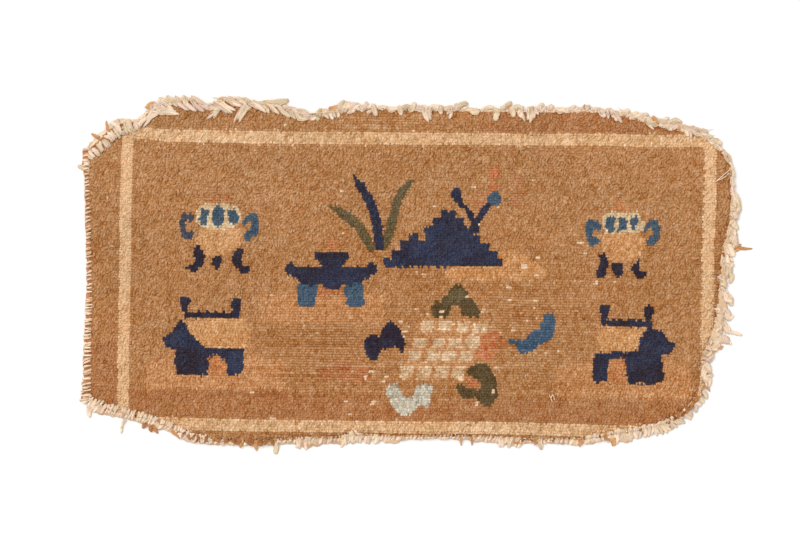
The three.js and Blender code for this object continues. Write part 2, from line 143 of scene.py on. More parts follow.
RIGHT_LOCKS = [
    (729, 162, 733, 169, 3), (731, 168, 734, 177, 3.5), (732, 176, 734, 187, 4), (732, 186, 735, 197, 5),
    (734, 193, 738, 206, 9), (736, 199, 739, 212, 8), (734, 208, 737, 220, 8), (732, 220, 737, 230, 7),
    (729, 228, 736, 238, 9), (731, 236, 734, 248, 10), (727, 245, 732, 257, 10), (726, 255, 731, 266, 9),
    (725, 264, 731, 274, 9), (722, 276, 725, 288, 6), (728, 273, 731, 283, 5), (723, 289, 726, 301, 6),
    (727, 294, 731, 306, 6), (718, 307, 722, 319, 6), (723, 308, 729, 321, 9), (716, 323, 721, 331, 6),
    (723, 322, 729, 332, 8), (726, 332, 742, 336, 4), (715, 333, 724, 342, 9), (722, 336, 730, 343, 8),
    (712, 340, 720, 347, 8), (707, 346, 716, 350, 6), (703, 351, 712, 357, 6), (703, 358, 712, 361, 5),
    (704, 363, 711, 373, 6), (706, 369, 710, 381, 6), (704, 376, 709, 387, 6), (702, 391, 707, 399, 5),
    (698, 397, 704, 403, 5), (694, 402, 701, 406, 5), (690, 405, 698, 410, 5), (686, 410, 693, 416, 6),
    (683, 414, 691, 420, 5),
]
NEAR_LOCKS = [
    (675, 415, 687, 422, 6), (670, 417, 680, 426, 6), (665, 419, 673, 430, 6), (660, 421, 666, 433, 6),
    (655, 422, 659, 435, 6), (650, 423, 652, 435, 6), (645, 423, 645, 436, 6), (638, 426, 638, 440, 7),
    (631, 427, 630, 441, 7), (624, 428, 623, 441, 7), (617, 428, 615, 442, 7), (609, 430, 608, 441, 6),
    (595, 433, 594, 441, 6), (588, 434, 587, 441, 5), (541, 437, 541, 448, 3.5), (520, 438, 518, 447, 6),
    (510, 437, 508, 446, 6), (502, 437, 501, 446, 6), (390, 434, 388, 443, 6), (378, 435, 377, 444, 6),
    (368, 434, 367, 444, 6), (360, 431, 358, 442, 6), (352, 430, 350, 444, 8), (344, 433, 343, 446, 6),
    (300, 436, 298, 448, 6), (308, 436, 309, 448, 6), (275, 440, 275, 453, 4), (124, 418, 121, 432, 5),
    (91, 394, 83, 399, 5), (92, 399, 84, 405, 6), (96, 401, 88, 410, 6), (100, 404, 94, 413, 6),
    (91, 404, 88, 415, 4), (210, 437, 208, 444, 5), (222, 438, 221, 444, 5),
]

# Wisps of wool between the cotton, in the same form.
WOOL_WISPS = [
    (99, 138, 91, 133, 4), (110, 131, 107, 120, 3), (147, 109, 155, 102, 6), (222, 103, 220, 97, 5),
    (268, 108, 264, 103, 4), (321, 113, 321, 108, 3), (329, 110, 339, 104, 6), (507, 110, 512, 105, 4),
    (533, 110, 533, 106, 3), (585, 110, 585, 104, 3), (611, 114, 611, 110, 3), (652, 117, 659, 124, 6),
    (679, 130, 679, 125, 3), (733, 246, 753, 248, 4), (734, 248, 742, 244, 4), (735, 250, 741, 249, 4),
    (704, 386, 711, 391, 4), (605, 432, 613, 439, 8), (612, 438, 615, 446, 8), (580, 438, 580, 447, 6),
    (536, 437, 536, 446, 3), (514, 441, 522, 444, 5), (461, 437, 461, 446, 3), (472, 437, 472, 446, 3),
    (256, 440, 256, 451, 5), (242, 438, 240, 448, 6), (149, 424, 157, 434, 7), (172, 430, 180, 439, 6),
    (154, 425, 150, 432, 5), (720, 349, 724, 346, 3),
]

# Brown wool that has felted over the cotton along the near side, in the same form.
FELTED_WOOL = [
    (188, 434, 190, 440, 4), (197, 435, 199, 441, 4), (206, 436, 204, 442, 4), (216, 437, 219, 443, 5),
    (226, 437, 224, 443, 4), (233, 438, 236, 444, 5), (239, 438, 237, 445, 5), (246, 438, 249, 445, 6),
    (252, 439, 250, 446, 5), (259, 439, 262, 446, 6), (266, 439, 264, 445, 5), (271, 439, 274, 445, 4),
    (145, 423, 143, 429, 4), (152, 426, 151, 432, 4),
]

# The whip stitches along the left side, from the far corner: (first place, last place, pitch, slant,
# how far in they come up, radius, share of the cotton's reach, soil).
LEFT_STITCHES = [
    (0, 150, 4.4, 2.6, 1.5, 0.95, 1.0, 1.5),
    (150, 208, 3.4, 2.0, 2.4, 1.1, 1.02, 1.0),
    (208, None, 4.0, 3.6, 1.5, 1.05, 1.02, 1.1),
]

# Single fibres that lie loose on the pile, through places in plan millimetres.
COTTON_FIBRES = [
    [(715, 182), (721, 177), (727, 172), (732, 167)],
    [(716, 181), (723, 178), (729, 173)],
    [(549, 394.5), (550.6, 398), (552.2, 401.7)],
    [(551, 397.8), (552, 395.6), (553.4, 395.3), (554.2, 400)],
]
WOOL_FIBRES = [[(163, 157), (167, 154), (172, 153), (175, 150)]]

# Places where the pile is worn low: (x, y, half size along x, half size along y, depth).
WORN_PLACES = [
    (40, -60, 110, 60, 1.6), (-40, -115, 120, 40, 1.1), (110, 0, 90, 45, 1.0), (-110, -10, 80, 45, 0.8),
]

# Where the pile stands out over the edge at the near right corner.
CORNER_OVERHANG = [
    (640, 420), (688, 394), (699, 372), (703, 384), (701.5, 392), (697.5, 400), (690.5, 408.5),
    (682, 415.5), (671, 421), (658, 424.5), (642, 428),
]

# Places where the pile is so short that its rows show: plan x and y, half sizes, strength.
ROWS_SHOW = [
    (330, 345, 90, 55, 1.0), (430, 350, 110, 70, 0.8), (525, 325, 75, 60, 1.0), (548, 380, 62, 40, 0.5),
    (470, 290, 90, 30, 0.6), (250, 385, 90, 25, 0.45), (400, 425, 240, 10, 0.5), (470, 190, 60, 30, 0.25),
    (385, 121, 60, 10, 0.9),
]


# The design, in plan millimetres

# The outer edges of the stripe, which the knots follow: (place along, place across). Then its width in
# rows and half knots.
STRIPE_FAR = [
    (88, 122), (121, 123.5), (131, 124.5), (145, 126), (165, 128), (200, 129), (250, 130), (300, 131),
    (400, 131.7), (500, 132.3), (600, 133), (640, 133.8), (680, 134), (712, 134),
]
STRIPE_NEAR = [(118, 426), (160, 428.5), (200, 429.5), (300, 431.5), (500, 434), (643, 437), (700, 438)]
STRIPE_LEFT = [
    (130, 122.6), (150, 121.8), (170, 120.8), (200, 120.5), (300, 119), (345, 118.3), (411, 117.3),
]
STRIPE_RIGHT = [(140, 716.5), (200, 716), (220, 714.8), (250, 714), (300, 714), (350, 712.8), (430, 710)]
STRIPE_ROWS = 5
STRIPE_LEFT_HALVES = 7
STRIPE_RIGHT_HALVES = 7.5

# Wool and cotton as they look in even light, sRGB out of 255.
DYES = {
    "camel": (178, 127, 80), "umber": (173, 118, 73), "sand": (192, 137, 88), "fawn": (201, 149, 98),
    "straw": (212, 171, 127), "navy": (47, 46, 64), "aubergine": (48, 39, 49), "slate": (54, 58, 79),
    "dusk": (70, 74, 86), "blue": (73, 91, 106), "steel": (84, 99, 109), "olive": (95, 76, 47),
    "moss": (106, 89, 59), "ivory": (191, 181, 160), "cream": (208, 180, 141), "chess": (211, 177, 137),
    "rust": (194, 122, 79), "russet": (183, 121, 78), "apricot": (188, 125, 76), "cotton": (244, 222, 196),
    "bleached": (236, 208, 176), "tan": (205, 152, 100), "soiled": (206, 160, 117),
    "red_felt": (186, 128, 92), "hidden": (150, 112, 78),
}

# The wools' dyes. The other dyes are the cotton's.
WOOL_DYES = {
    "camel_wool": ("camel", "umber", "sand"),
    "straw_wool": ("fawn", "straw"),
    "navy_wool": ("navy", "aubergine", "slate"),
    "blue_wool": ("blue", "dusk", "steel"),
    "olive_wool": ("olive", "moss"),
    "ivory_wool": ("ivory", "cream", "chess"),
    "rust_wool": ("rust", "russet", "apricot"),
}

# Dye lots that pass into the ground over a few knots.
SOFT_EDGED = {"umber", "sand", "rust", "russet", "apricot"}

# Figures in the order in which they are knotted: (dye, corners).
FIGURES = [
    # A darker dye lot along the near side, and paler ground under and behind the figures.
    ("umber", [(128, 389), (285, 389), (300, 395), (380, 392), (430, 400), (520, 398), (556, 399),
        (690, 399), (702, 380), (702, 425), (128, 425)]),
    ("umber", [(480, 100), (712, 118), (712, 140), (480, 131)]),
    ("umber", [(84, 340), (119, 340), (119, 425), (84, 425)]),
    ("sand", [(146, 362), (176, 358), (246, 356), (284, 359), (284, 388), (146, 388)]),
    ("sand", [(262, 294), (300, 292), (384, 293), (384, 323), (262, 323)]),
    ("sand", [(556, 364), (594, 361), (664, 361), (690, 364), (690, 398), (556, 398)]),
    ("fawn", [(444, 272), (460, 260), (500, 250), (512, 251), (522, 254), (530, 259), (540, 264),
        (548, 272), (548, 279), (500, 280), (446, 279)]),
    # Left censer.
    ("russet", [(207, 204), (210, 197), (216, 192), (221, 187), (227, 192), (231, 197), (233, 204)]),
    ("fawn", [(204, 227), (238, 227), (243, 232), (243, 240), (239, 247), (230, 250), (226, 255),
        (206, 255), (204, 249), (197, 246), (196, 238)]),
    ("cream", [(199, 205), (206, 203.5), (222, 203), (232, 203.5), (238, 205), (240, 209), (241.5, 219),
        (240, 224), (230, 228), (222, 229), (212, 228.5), (204, 227), (198, 224), (195, 218), (196, 212)]),
    ("blue", [(201, 208), (210, 208), (209, 213), (207, 225), (202, 225), (199, 219), (201, 214)]),
    ("blue", [(214, 208.5), (218, 206), (221, 206), (224, 210), (225, 220), (219, 226), (214, 224),
        (212, 217)]),
    ("blue", [(227, 210), (235, 208), (240, 217), (237, 222), (233, 225), (230, 222), (229, 216)]),
    ("dusk", [(181, 213), (190, 212.5), (194, 215), (194, 220), (191, 222), (188, 220), (186, 223),
        (186, 229), (189, 231), (194, 231), (195, 235), (192, 238.5), (185, 238.5), (181, 234),
        (180, 225)]),
    ("blue", [(243, 221), (247, 216), (250, 213), (257, 213), (259, 220), (259, 232), (256, 236),
        (251, 237), (250, 240), (245, 239), (243, 235), (247, 231), (251, 230), (250, 219), (244, 225)]),
    ("aubergine", [(196, 244), (200, 244), (200, 250), (204, 251), (205, 259), (203, 264), (198, 265),
        (198, 269), (196, 271), (185, 269), (190, 264), (194, 264), (195, 258), (194, 251)]),
    ("aubergine", [(212, 257), (221, 255), (222, 260), (218, 270), (214, 266), (211, 261)]),
    ("aubergine", [(235, 251), (240, 248), (243, 247), (244, 252), (242, 259), (243, 264), (249, 265),
        (251, 270), (247, 273), (240, 273), (234, 264), (232, 259), (232, 256)]),
    # Right censer.
    ("apricot", [(612, 211), (615, 203), (620, 197), (626, 203), (631, 211)]),
    ("fawn", [(606, 232), (642, 232), (645, 240), (643, 250), (636, 257), (628, 261), (610, 260),
        (603, 251), (602, 240)]),
    ("cream", [(604, 213), (612, 211), (640, 211.5), (640, 218), (645, 221), (645, 228), (640, 231),
        (632, 232), (620, 233), (608, 232), (603, 229), (603, 215)]),
    ("blue", [(608, 216), (616, 216), (613, 231), (608, 231), (605, 226), (606, 220)]),
    ("blue", [(620, 217), (624, 216), (628, 221), (628, 228), (617, 230), (619, 224)]),
    ("blue", [(630, 216), (638, 216), (639, 221), (636, 226), (635, 231), (632, 230)]),
    ("blue", [(587, 221), (593, 219), (600, 221), (601, 226), (598, 230), (592, 228), (593, 234),
        (601, 240), (592, 246), (588, 240), (586, 232)]),
    ("blue", [(643, 227), (652, 219), (658, 219), (661, 228), (660, 236), (653, 246), (648, 244),
        (645, 241), (650, 237), (653, 233), (652, 226), (650, 226), (647, 231), (644, 232)]),
    ("aubergine", [(599, 254), (602, 254), (605, 252), (606, 256), (609, 260), (605, 276), (597, 278),
        (595, 272), (599, 266), (600, 260)]),
    ("aubergine", [(612, 263), (622, 262), (623, 271), (621, 277), (617, 279), (611, 267)]),
    ("aubergine", [(636, 260), (640, 259), (641, 271), (647, 272), (645, 278), (638, 277), (634, 274),
        (631, 268), (632, 264), (636, 263)]),
    # Left table and animal.
    ("fawn", [(186, 319), (243, 318), (250, 330), (250, 347), (203, 347), (190, 330)]),
    ("aubergine", [(180, 296), (190, 295), (191, 300), (187, 311), (182, 311), (180, 304)]),
    ("aubergine", [(232, 299), (236, 297), (242, 298), (240, 311), (233, 311), (231, 304)]),
    ("aubergine", [(183, 311), (240, 311), (239, 317), (205, 318), (185, 317)]),
    ("navy", [(181, 318), (189, 329), (192, 335), (198, 340), (201, 346), (209, 348), (212, 347),
        (243, 348), (245, 352), (243, 370), (240, 374), (228, 375), (227, 362), (217, 353), (210, 358),
        (208, 374), (180, 374), (176, 370), (174, 358), (177, 350), (165, 345), (162, 338), (175, 328)]),
    ("slate", [(228, 350), (244, 351), (242, 371), (230, 371), (228, 362)]),
    ("slate", [(164, 336), (184, 326), (188, 334), (186, 346), (168, 346)]),
    ("aubergine", [(176, 352), (198, 350), (200, 372), (180, 373), (176, 366)]),
    ("apricot", [(211, 359), (213, 355), (217, 354), (226, 363), (225, 375), (209, 375)]),
    # Right table and animal.
    ("fawn", [(602, 327), (646, 328), (641, 337), (640, 344), (634, 350), (600, 350), (597, 338)]),
    ("aubergine", [(600, 305), (609, 304), (610, 309), (608, 315), (606, 319), (602, 320), (600, 312)]),
    ("aubergine", [(645, 307), (649, 304), (655, 305), (652, 319), (647, 319), (643, 312)]),
    ("aubergine", [(601, 319), (650, 319.5), (653, 324), (651, 329), (646, 327), (628, 326), (602, 325)]),
    ("navy", [(646, 331), (650, 328), (662, 330), (665, 335), (670, 343), (674, 341), (676, 343),
        (673, 348), (672, 352), (668, 354), (661, 353), (664, 376), (662, 382), (654, 384), (640, 383),
        (628, 383), (625, 360), (621, 357), (609, 361), (608, 380), (597, 382), (592, 380), (594, 360),
        (595, 352), (610, 352), (618, 350), (622, 352), (634, 351), (638, 348), (641, 337)]),
    ("slate", [(640, 340), (660, 332), (668, 342), (668, 352), (646, 354), (638, 350)]),
    ("slate", [(595, 366), (608, 366), (606, 380), (594, 380)]),
    ("aubergine", [(636, 364), (662, 360), (662, 381), (640, 382)]),
    ("apricot", [(609, 362), (612, 358), (621, 358), (626, 374), (627, 382), (609, 382)]),
    # A low stand with a bowl on it.
    ("rust", [(326, 250), (328, 243), (332, 238), (336, 243), (338, 250)]),
    ("russet", [(316, 287), (348, 287), (348, 298), (316, 298)]),
    ("navy", [(286, 264), (292, 262), (296, 266), (366, 266), (371, 262), (377, 264), (378, 270),
        (372, 276), (364, 278), (362, 284), (300, 284), (298, 278), (290, 276), (285, 270)]),
    ("navy", [(314, 252), (350, 252), (348, 259), (342, 264), (342, 266), (322, 266), (322, 264),
        (316, 259)]),
    ("aubergine", [(318, 253), (346, 253), (344, 257), (320, 257)]),
    ("blue", [(298, 283), (317, 283), (317, 292), (315, 298), (316, 304), (311, 307), (302, 307),
        (297, 304)]),
    ("blue", [(345, 283), (363, 283), (365, 304), (360, 307), (351, 307), (346, 303), (347, 298),
        (344, 292)]),
    ("slate", [(306, 278), (356, 278), (352, 287), (344, 282), (338, 288), (324, 288), (318, 282),
        (310, 287)]),
    # A stepped rock with a blossom twig and three leaves.
    ("russet", [(523, 176), (515, 172), (511, 180), (515, 190), (510, 200), (518, 208), (524, 196)]),
    ("rust", [(502, 172), (494, 166), (488, 174), (492, 184), (486, 192), (494, 198), (501, 186)]),
    ("russet", [(486, 196), (478, 192), (474, 200), (479, 210), (487, 208)]),
    ("slate", [(384, 266), (384, 258), (392, 258), (392, 249), (400, 249), (400, 240), (409, 240),
        (409, 233), (418, 233), (418, 240), (425, 240), (425, 226), (433, 226), (433, 217), (441, 217),
        (441, 210), (456, 210), (456, 217), (464, 217), (464, 226), (472, 226), (472, 236), (480, 236),
        (480, 243), (489, 243), (489, 250), (497, 250), (497, 258), (503, 258), (503, 266)]),
    ("navy", [(444, 221), (453, 221), (453, 229), (462, 229), (462, 238), (436, 238), (436, 229),
        (444, 229)]),
    ("navy", [(404, 247), (414, 247), (414, 255), (396, 255), (396, 251), (404, 251)]),
    ("navy", [(477, 234), (480, 222), (492, 205), (488, 202), (481, 209), (476, 217), (469, 207),
        (462, 200), (458, 203), (465, 210), (471, 220), (471, 234)]),
    ("blue", [(502, 196), (496, 190), (489, 193), (487, 200), (492, 206), (500, 204)]),
    ("steel", [(498, 196), (493, 195), (492, 200), (497, 201)]),
    ("navy", [(463, 201), (461, 190), (455, 186), (451, 192), (454, 199), (459, 204)]),
    ("moss", [(387, 250), (393, 236), (401, 204), (408, 190), (416, 178), (407, 180), (398, 189),
        (392, 203), (383, 236), (381, 248)]),
    ("navy", [(384, 250), (383, 232), (380, 214), (374, 198), (365, 184), (353, 173), (356, 186),
        (364, 199), (370, 213), (376, 249)]),
    ("moss", [(377, 250), (371, 236), (362, 222), (351, 212), (338, 206), (328, 205), (336, 213),
        (347, 221), (357, 231), (369, 251)]),
    # The board and its ribbons.
    ("sand", [(420, 319), (488, 320), (480, 350), (470, 380), (396, 380), (404, 360), (412, 338)]),
    ("rust", [(478, 345), (482, 338), (486, 333), (492, 330), (500, 333), (505, 337), (508, 341),
        (503, 345), (496, 350), (492, 358), (486, 361), (478, 360), (474, 354)]),
    ("russet", [(334, 361), (344, 359), (352, 364), (366, 368), (374, 376), (362, 384), (342, 382),
        (336, 370)]),
    ("russet", [(322, 370), (332, 367), (334, 376), (324, 379)]),
    ("olive", [(432, 305), (437, 300), (441, 301), (443, 296), (448, 294), (451, 287), (455, 283),
        (461, 283), (463, 288), (466, 289), (470, 297), (474, 300), (480, 311), (479, 317), (468, 317),
        (461, 314), (461, 308), (458, 306), (453, 305), (450, 309), (449, 316), (440, 318), (435, 316),
        (432, 311)]),
    ("moss", [(446, 297), (453, 289), (461, 288), (466, 296), (458, 302), (448, 303)]),
    ("aubergine", [(387, 322), (392, 321), (400, 328), (406, 343), (403, 353), (400, 352), (400, 347),
        (396, 346), (388, 347), (381, 350), (377, 359), (372, 360), (368, 357), (364, 346), (364, 339),
        (368, 336), (374, 335), (380, 336), (381, 331)]),
    ("ivory", [(388, 384), (398, 383), (400, 389), (403, 394), (407, 397), (411, 397), (414, 394),
        (416, 389), (417, 384), (432, 384), (432, 392), (431, 398), (429, 405), (427, 408), (420, 405),
        (416, 408), (411, 414), (406, 415), (400, 414), (394, 409), (388, 398), (386, 392)]),
    ("olive", [(467, 369), (475, 364), (483, 363), (488, 364), (496, 380), (498, 394), (493, 404),
        (488, 407), (480, 402), (476, 398), (472, 397), (466, 399), (462, 397), (456, 387), (459, 384),
        (463, 384), (466, 388), (473, 388), (478, 390), (481, 386), (480, 381), (476, 379), (474, 376),
        (470, 376), (467, 373)]),
    ("rust", [(468, 380), (474, 378), (479, 382), (477, 388), (470, 388)]),
    ("blue", [(508, 340), (512, 339), (522, 340), (527, 338), (530, 333), (540, 329), (541, 323),
        (544, 319), (545, 314), (548, 312), (552, 313), (556, 319), (554, 333), (551, 340), (538, 344),
        (536, 349), (531, 352), (520, 353), (515, 344), (510, 344)]),
]

# The board's pale squares: (left, top, right, bottom), how far each square's foot lies to the left, and
# how much wider it is at each side.
BOARD_SQUARES = [
    (421, 320, 433, 331), (438, 320, 450, 331), (456, 321, 468, 332), (473, 322, 487, 332),
    (413, 338, 425, 348), (432, 338, 444, 348), (448, 337, 461, 348), (465, 335, 479, 348),
    (408, 351, 420, 361), (427, 351, 439, 361), (442, 351, 455, 361), (459, 351, 472, 362),
    (399, 366, 412, 378), (417, 366, 430, 378), (434, 366, 448, 378), (451, 366, 464, 379),
]
SQUARE_SLANT = 2.0
WIDER_LEFT, WIDER_RIGHT = 0.8, 1.8
for x0, y0, x1, y1 in BOARD_SQUARES:
    right = x1 + WIDER_RIGHT
    square = [(x0 + SQUARE_SLANT, y0), (right, y0), (right - SQUARE_SLANT, y1), (x0 - WIDER_LEFT, y1)]
    FIGURES.append(("chess", square))

# Rows in which every few knots have thinned to the cotton: (first x, last x, y).
THIN_ROWS = [
    (346, 378, 371), (362, 392, 376.5), (486, 520, 327), (492, 530, 366), (470, 500, 310), (395, 412, 326),
    (505, 545, 300), (500, 540, 285), (515, 545, 263), (440, 470, 283), (300, 340, 333), (520, 560, 352),
    (340, 380, 120), (345, 420, 124), (400, 442, 116), (350, 400, 127.5),
]

# Places a little lighter, or darker, than their dye lot: plan x and y, half sizes, strength.
LIGHTER_PLACES = [
    (285, 230, 22, 40, 0.06), (330, 321, 36, 11, 0.06), (540, 295, 45, 28, -0.04), (465, 276, 38, 8, -0.05),
    (650, 396, 60, 9, 0.04), (236, 174, 8, 5, -0.1), (246, 184, 5, 4, -0.12), (232, 190, 4, 4, -0.1),
    (101, 227, 6, 3, -0.12), (676, 240, 16, 40, 0.03), (255, 152, 6, 4, -0.06),
]

# Knots worn down to the cotton: (x, y, width, height).
BARE_KNOTS = [
    (271, 295, 3, 2.5), (304, 326, 4, 2.5), (346, 400, 5, 2.5), (374, 402, 5, 2.5), (352, 371, 3, 2.5),
    (442, 312, 4, 3), (441, 316, 3, 2), (401, 321, 5, 2.5), (405, 332, 5, 2.5), (403, 336, 4, 2.5),
    (424, 282, 3, 3), (417, 309, 3, 3), (482, 312, 4, 3), (467, 282, 3, 3), (467, 297, 4, 2.5),
    (513, 329, 6, 2.5), (477, 403, 4, 3), (494, 391, 3, 3), (496, 366, 6, 2.5), (478, 338, 3, 3),
    (403, 331, 4, 2), (371, 370, 6, 2.5), (365, 378, 3, 5), (372, 403, 5, 2.5), (382, 382, 5, 2.5),
    (386, 375, 4, 2.5), (461, 378, 6, 3), (510, 299, 4, 2), (535, 300, 4, 2.5), (534, 308, 4, 2),
    (509, 288, 5, 2), (558, 351, 4, 2.5), (596, 282, 4, 2.5), (615, 281, 4, 4), (586, 252, 3, 3),
    (580, 243, 4, 3), (606, 232, 4, 2.5), (424, 274, 5, 4), (416, 270, 3, 2.5), (430, 178, 4, 3),
    (474, 187, 4, 3), (499, 206, 4, 3), (342, 190, 4, 3), (286, 124, 4, 3), (252, 393, 4, 2.5),
    (275, 417, 5, 3), (350, 414, 5, 2.5), (288, 366, 5, 2.5), (534, 179, 4, 3), (462, 346, 4, 3),
    (538, 258, 5, 3), (524, 266, 6, 3), (536, 275, 5, 3), (583, 243, 4, 2), (434, 206, 4, 2.5),
]


def plan_to_mm(points):
    """Plan places as millimetres in the rug's frame."""
    points = np.asarray(points, float)
    return np.stack([PLAN_CORNER[0] + points[..., 0], PLAN_CORNER[1] - points[..., 1]], -1)


def mm_to_plan(points):
    """Millimetres in the rug's frame as plan places."""
    return np.stack([points[..., 0] - PLAN_CORNER[0], PLAN_CORNER[1] - points[..., 1]], -1)


# How bright red, green and blue look, the power that takes light to sRGB, and the deepest shade.
BRIGHTNESS = np.array([0.3, 0.59, 0.11])
LIGHT_TO_SRGB = 0.45
DEEPEST = 0.05

# The cells across the table of a smooth unevenness, after which it repeats.
DRIFT_CELLS = 64


def linear(colour):
    """An sRGB colour between 0 and 1 as linear light."""
    c = np.clip(np.asarray(colour, float), 0, 1)
    return np.where(c <= 0.04045, c / 12.92, ((c + 0.055) / 1.055) ** 2.4)


def dyed(name):
    """A dye's sRGB colour between 0 and 1."""
    return np.array(DYES[name]) / 255


def faded_and_shaded(colour, factor, wash=1.7):
    """An sRGB colour with this factor of its light, as painted shade and highlight and as fading: yarn is
    paler at its tips and deeper at its feet.
    """
    colour = np.asarray(colour, float)
    step = (np.clip(factor, DEEPEST, None) ** LIGHT_TO_SRGB - 1)[..., None]
    brightness = (colour @ BRIGHTNESS)[..., None]
    return colour * (1 + (1 - wash) * step) + wash * brightness * step


def drift(x, y, long, short, seed):
    """A smooth unevenness between -1 and 1, with features so long along X and so short along Y."""
    table = np.random.default_rng(seed).uniform(-1, 1, (DRIFT_CELLS, DRIFT_CELLS))
    u, v = np.asarray(x) / long, np.asarray(y) / short
    i, j = np.floor(u).astype(int), np.floor(v).astype(int)
    s, t = u - i, v - j
    s, t = s * s * (3 - 2 * s), t * t * (3 - 2 * t)
    i_next, j_next = (i + 1) % DRIFT_CELLS, (j + 1) % DRIFT_CELLS
    i, j = i % DRIFT_CELLS, j % DRIFT_CELLS
    low = table[i, j] * (1 - s) + table[i_next, j] * s
    high = table[i, j_next] * (1 - s) + table[i_next, j_next] * s
    return low * (1 - t) + high * t


def nearness(x, y, place, fall=1.0):
    """1 in the middle of a place, (x, y, half size along x, half size along y), and less farther out."""
    middle_x, middle_y, half_x, half_y = place
    return np.exp(-fall * (((x - middle_x) / half_x) ** 2 + ((y - middle_y) / half_y) ** 2))


def inside(points, corners):
    """Which points lie in the polygon."""
    x, y = points[:, 0], points[:, 1]
    result = np.zeros(len(points), bool)
    ring = np.asarray(corners, float)
    for (x0, y0), (x1, y1) in zip(ring, np.roll(ring, -1, axis=0)):
        if y0 != y1:
            crosses = (y0 > y) != (y1 > y)
            result ^= crosses & (x < x0 + (y - y0) * (x1 - x0) / (y1 - y0))
    return result


# The cloth's sides and its height

# The points over which a side's direction is averaged.
SMOOTHING = 9


def spline(table, parts=12):
    """Points on a smooth curve through the table's places."""
    p = np.asarray(table, float)
    q = np.vstack([p[:1], p, p[-1:]])
    t = np.linspace(0, 1, parts, endpoint=False)[:, None]
    pieces = []
    for k in range(len(p) - 1):
        a, b, c, d = q[k], q[k + 1], q[k + 2], q[min(k + 3, len(q) - 1)]
        curve = 2 * b + (c - a) * t + (2 * a - 5 * b + 4 * c - d) * t**2
        pieces.append((curve + (3 * b - a - 3 * c + d) * t**3) / 2)
    return np.vstack(pieces + [p[-1:]])


def even_steps(points, step=1.0):
    """The same line with its points a step apart."""
    run = np.concatenate([[0], np.cumsum(np.hypot(*np.diff(points, axis=0).T))])
    want = np.linspace(0, run[-1], max(2, round(run[-1] / step)) + 1)
    return np.stack([np.interp(want, run, points[:, k]) for k in (0, 1)], 1)


class Side:
    """One side of the cloth: points 1 mm apart, and the directions along it and out from it."""

    def __init__(self, table, reach, axis):
        self.points = even_steps(spline(table))
        ends = np.gradient(self.points, axis=0)
        blur = np.ones(SMOOTHING) / SMOOTHING
        beyond = SMOOTHING // 2
        for k in (0, 1):
            padded = np.concatenate([np.full(beyond, ends[0, k]), ends[:, k], np.full(beyond, ends[-1, k])])
            ends[:, k] = np.convolve(padded, blur, "valid")
        self.along = ends / np.linalg.norm(ends, axis=1, keepdims=True)
        self.outward = np.stack([self.along[:, 1], -self.along[:, 0]], 1)
        self.length = len(self.points) - 1.0
        self.axis = axis
        self.reach = np.interp(self.points[:, axis], *np.array(reach, float).T)

    def station(self, at):
        """How far along the side the place with this coordinate is."""
        return float(np.argmin(np.abs(self.points[:, self.axis] - at)))

    def reach_at(self, stations):
        return np.interp(stations, np.arange(len(self.reach)), self.reach)

    def spot(self, stations, out, along, height):
        """Points in the rug's frame, in millimetres, from places given relative to the side."""
        stations = np.clip(np.asarray(stations, float), 0, self.length)
        index = np.arange(len(self.points))

        def at(rows):
            return np.stack([np.interp(stations, index, rows[:, k]) for k in (0, 1)], -1)

        out, along = np.asarray(out)[..., None], np.asarray(along)[..., None]
        flat = at(self.points) + at(self.outward) * out + at(self.along) * along
        flat = flat + OUTLINE_SHIFT
        height = np.broadcast_to(height, flat.shape[:-1])
        return np.concatenate([flat, height[..., None]], -1)


near_side = Side(NEAR_OUTLINE, NEAR_REACH, axis=0)
right_side = Side(RIGHT_OUTLINE, RIGHT_REACH, axis=1)
far_side = Side(FAR_OUTLINE, FAR_REACH, axis=0)
left_side = Side(LEFT_OUTLINE, LEFT_REACH, axis=1)
outline = np.vstack([side.points[:-1] for side in (near_side, right_side, far_side, left_side)])
outline = outline + OUTLINE_SHIFT


def edge_distance(points, at_a_time=2000):
    """How far each point is from the cloth's outline."""
    nearest = np.empty(len(points))
    for start in range(0, len(points), at_a_time):
        part = slice(start, start + at_a_time)
        x, y = points[part].T
        away = (x[:, None] - outline[None, :, 0]) ** 2 + (y[:, None] - outline[None, :, 1]) ** 2
        nearest[part] = np.sqrt(away.min(1))
    return nearest


def wear_at(points):
    """How deep the pile is worn, in millimetres."""
    x, y = (points - OUTLINE_SHIFT).T
    return np.max([depth * nearness(x, y, place) for *place, depth in WORN_PLACES], axis=0)


def pile_height(points, distance):
    """The height of the pile's tips: worn and slowly uneven, and falling to the edge."""
    x, y = (points - OUTLINE_SHIFT).T
    wave = np.sin(x / 31 + 1) * np.cos(y / 24) + np.sin(x / 13 + y / 17) / 2
    full = FULL_PILE - wear_at(points) + WAVE_HEIGHT * wave
    return EDGE_THICKNESS + (full - EDGE_THICKNESS) * np.clip(distance / EDGE_SLOPE, 0, 1)


# Meshes and materials

def slab_faces(rows, columns):
    """The faces of a slab: a grid of points on top, the same grid below, and a wall between their rims."""
    count = rows * columns
    cells = np.arange(count).reshape(rows, columns)
    top = np.stack([cells[:-1, :-1], cells[:-1, 1:], cells[1:, 1:], cells[1:, :-1]], -1).reshape(-1, 4)
    rim = np.concatenate([cells[0, :-1], cells[:-1, -1], cells[-1, :0:-1], cells[:0:-1, 0]])
    wall = np.stack([rim, rim + count, np.roll(rim, -1) + count, np.roll(rim, -1)], -1)
    return [top, top[:, ::-1] + count, wall]


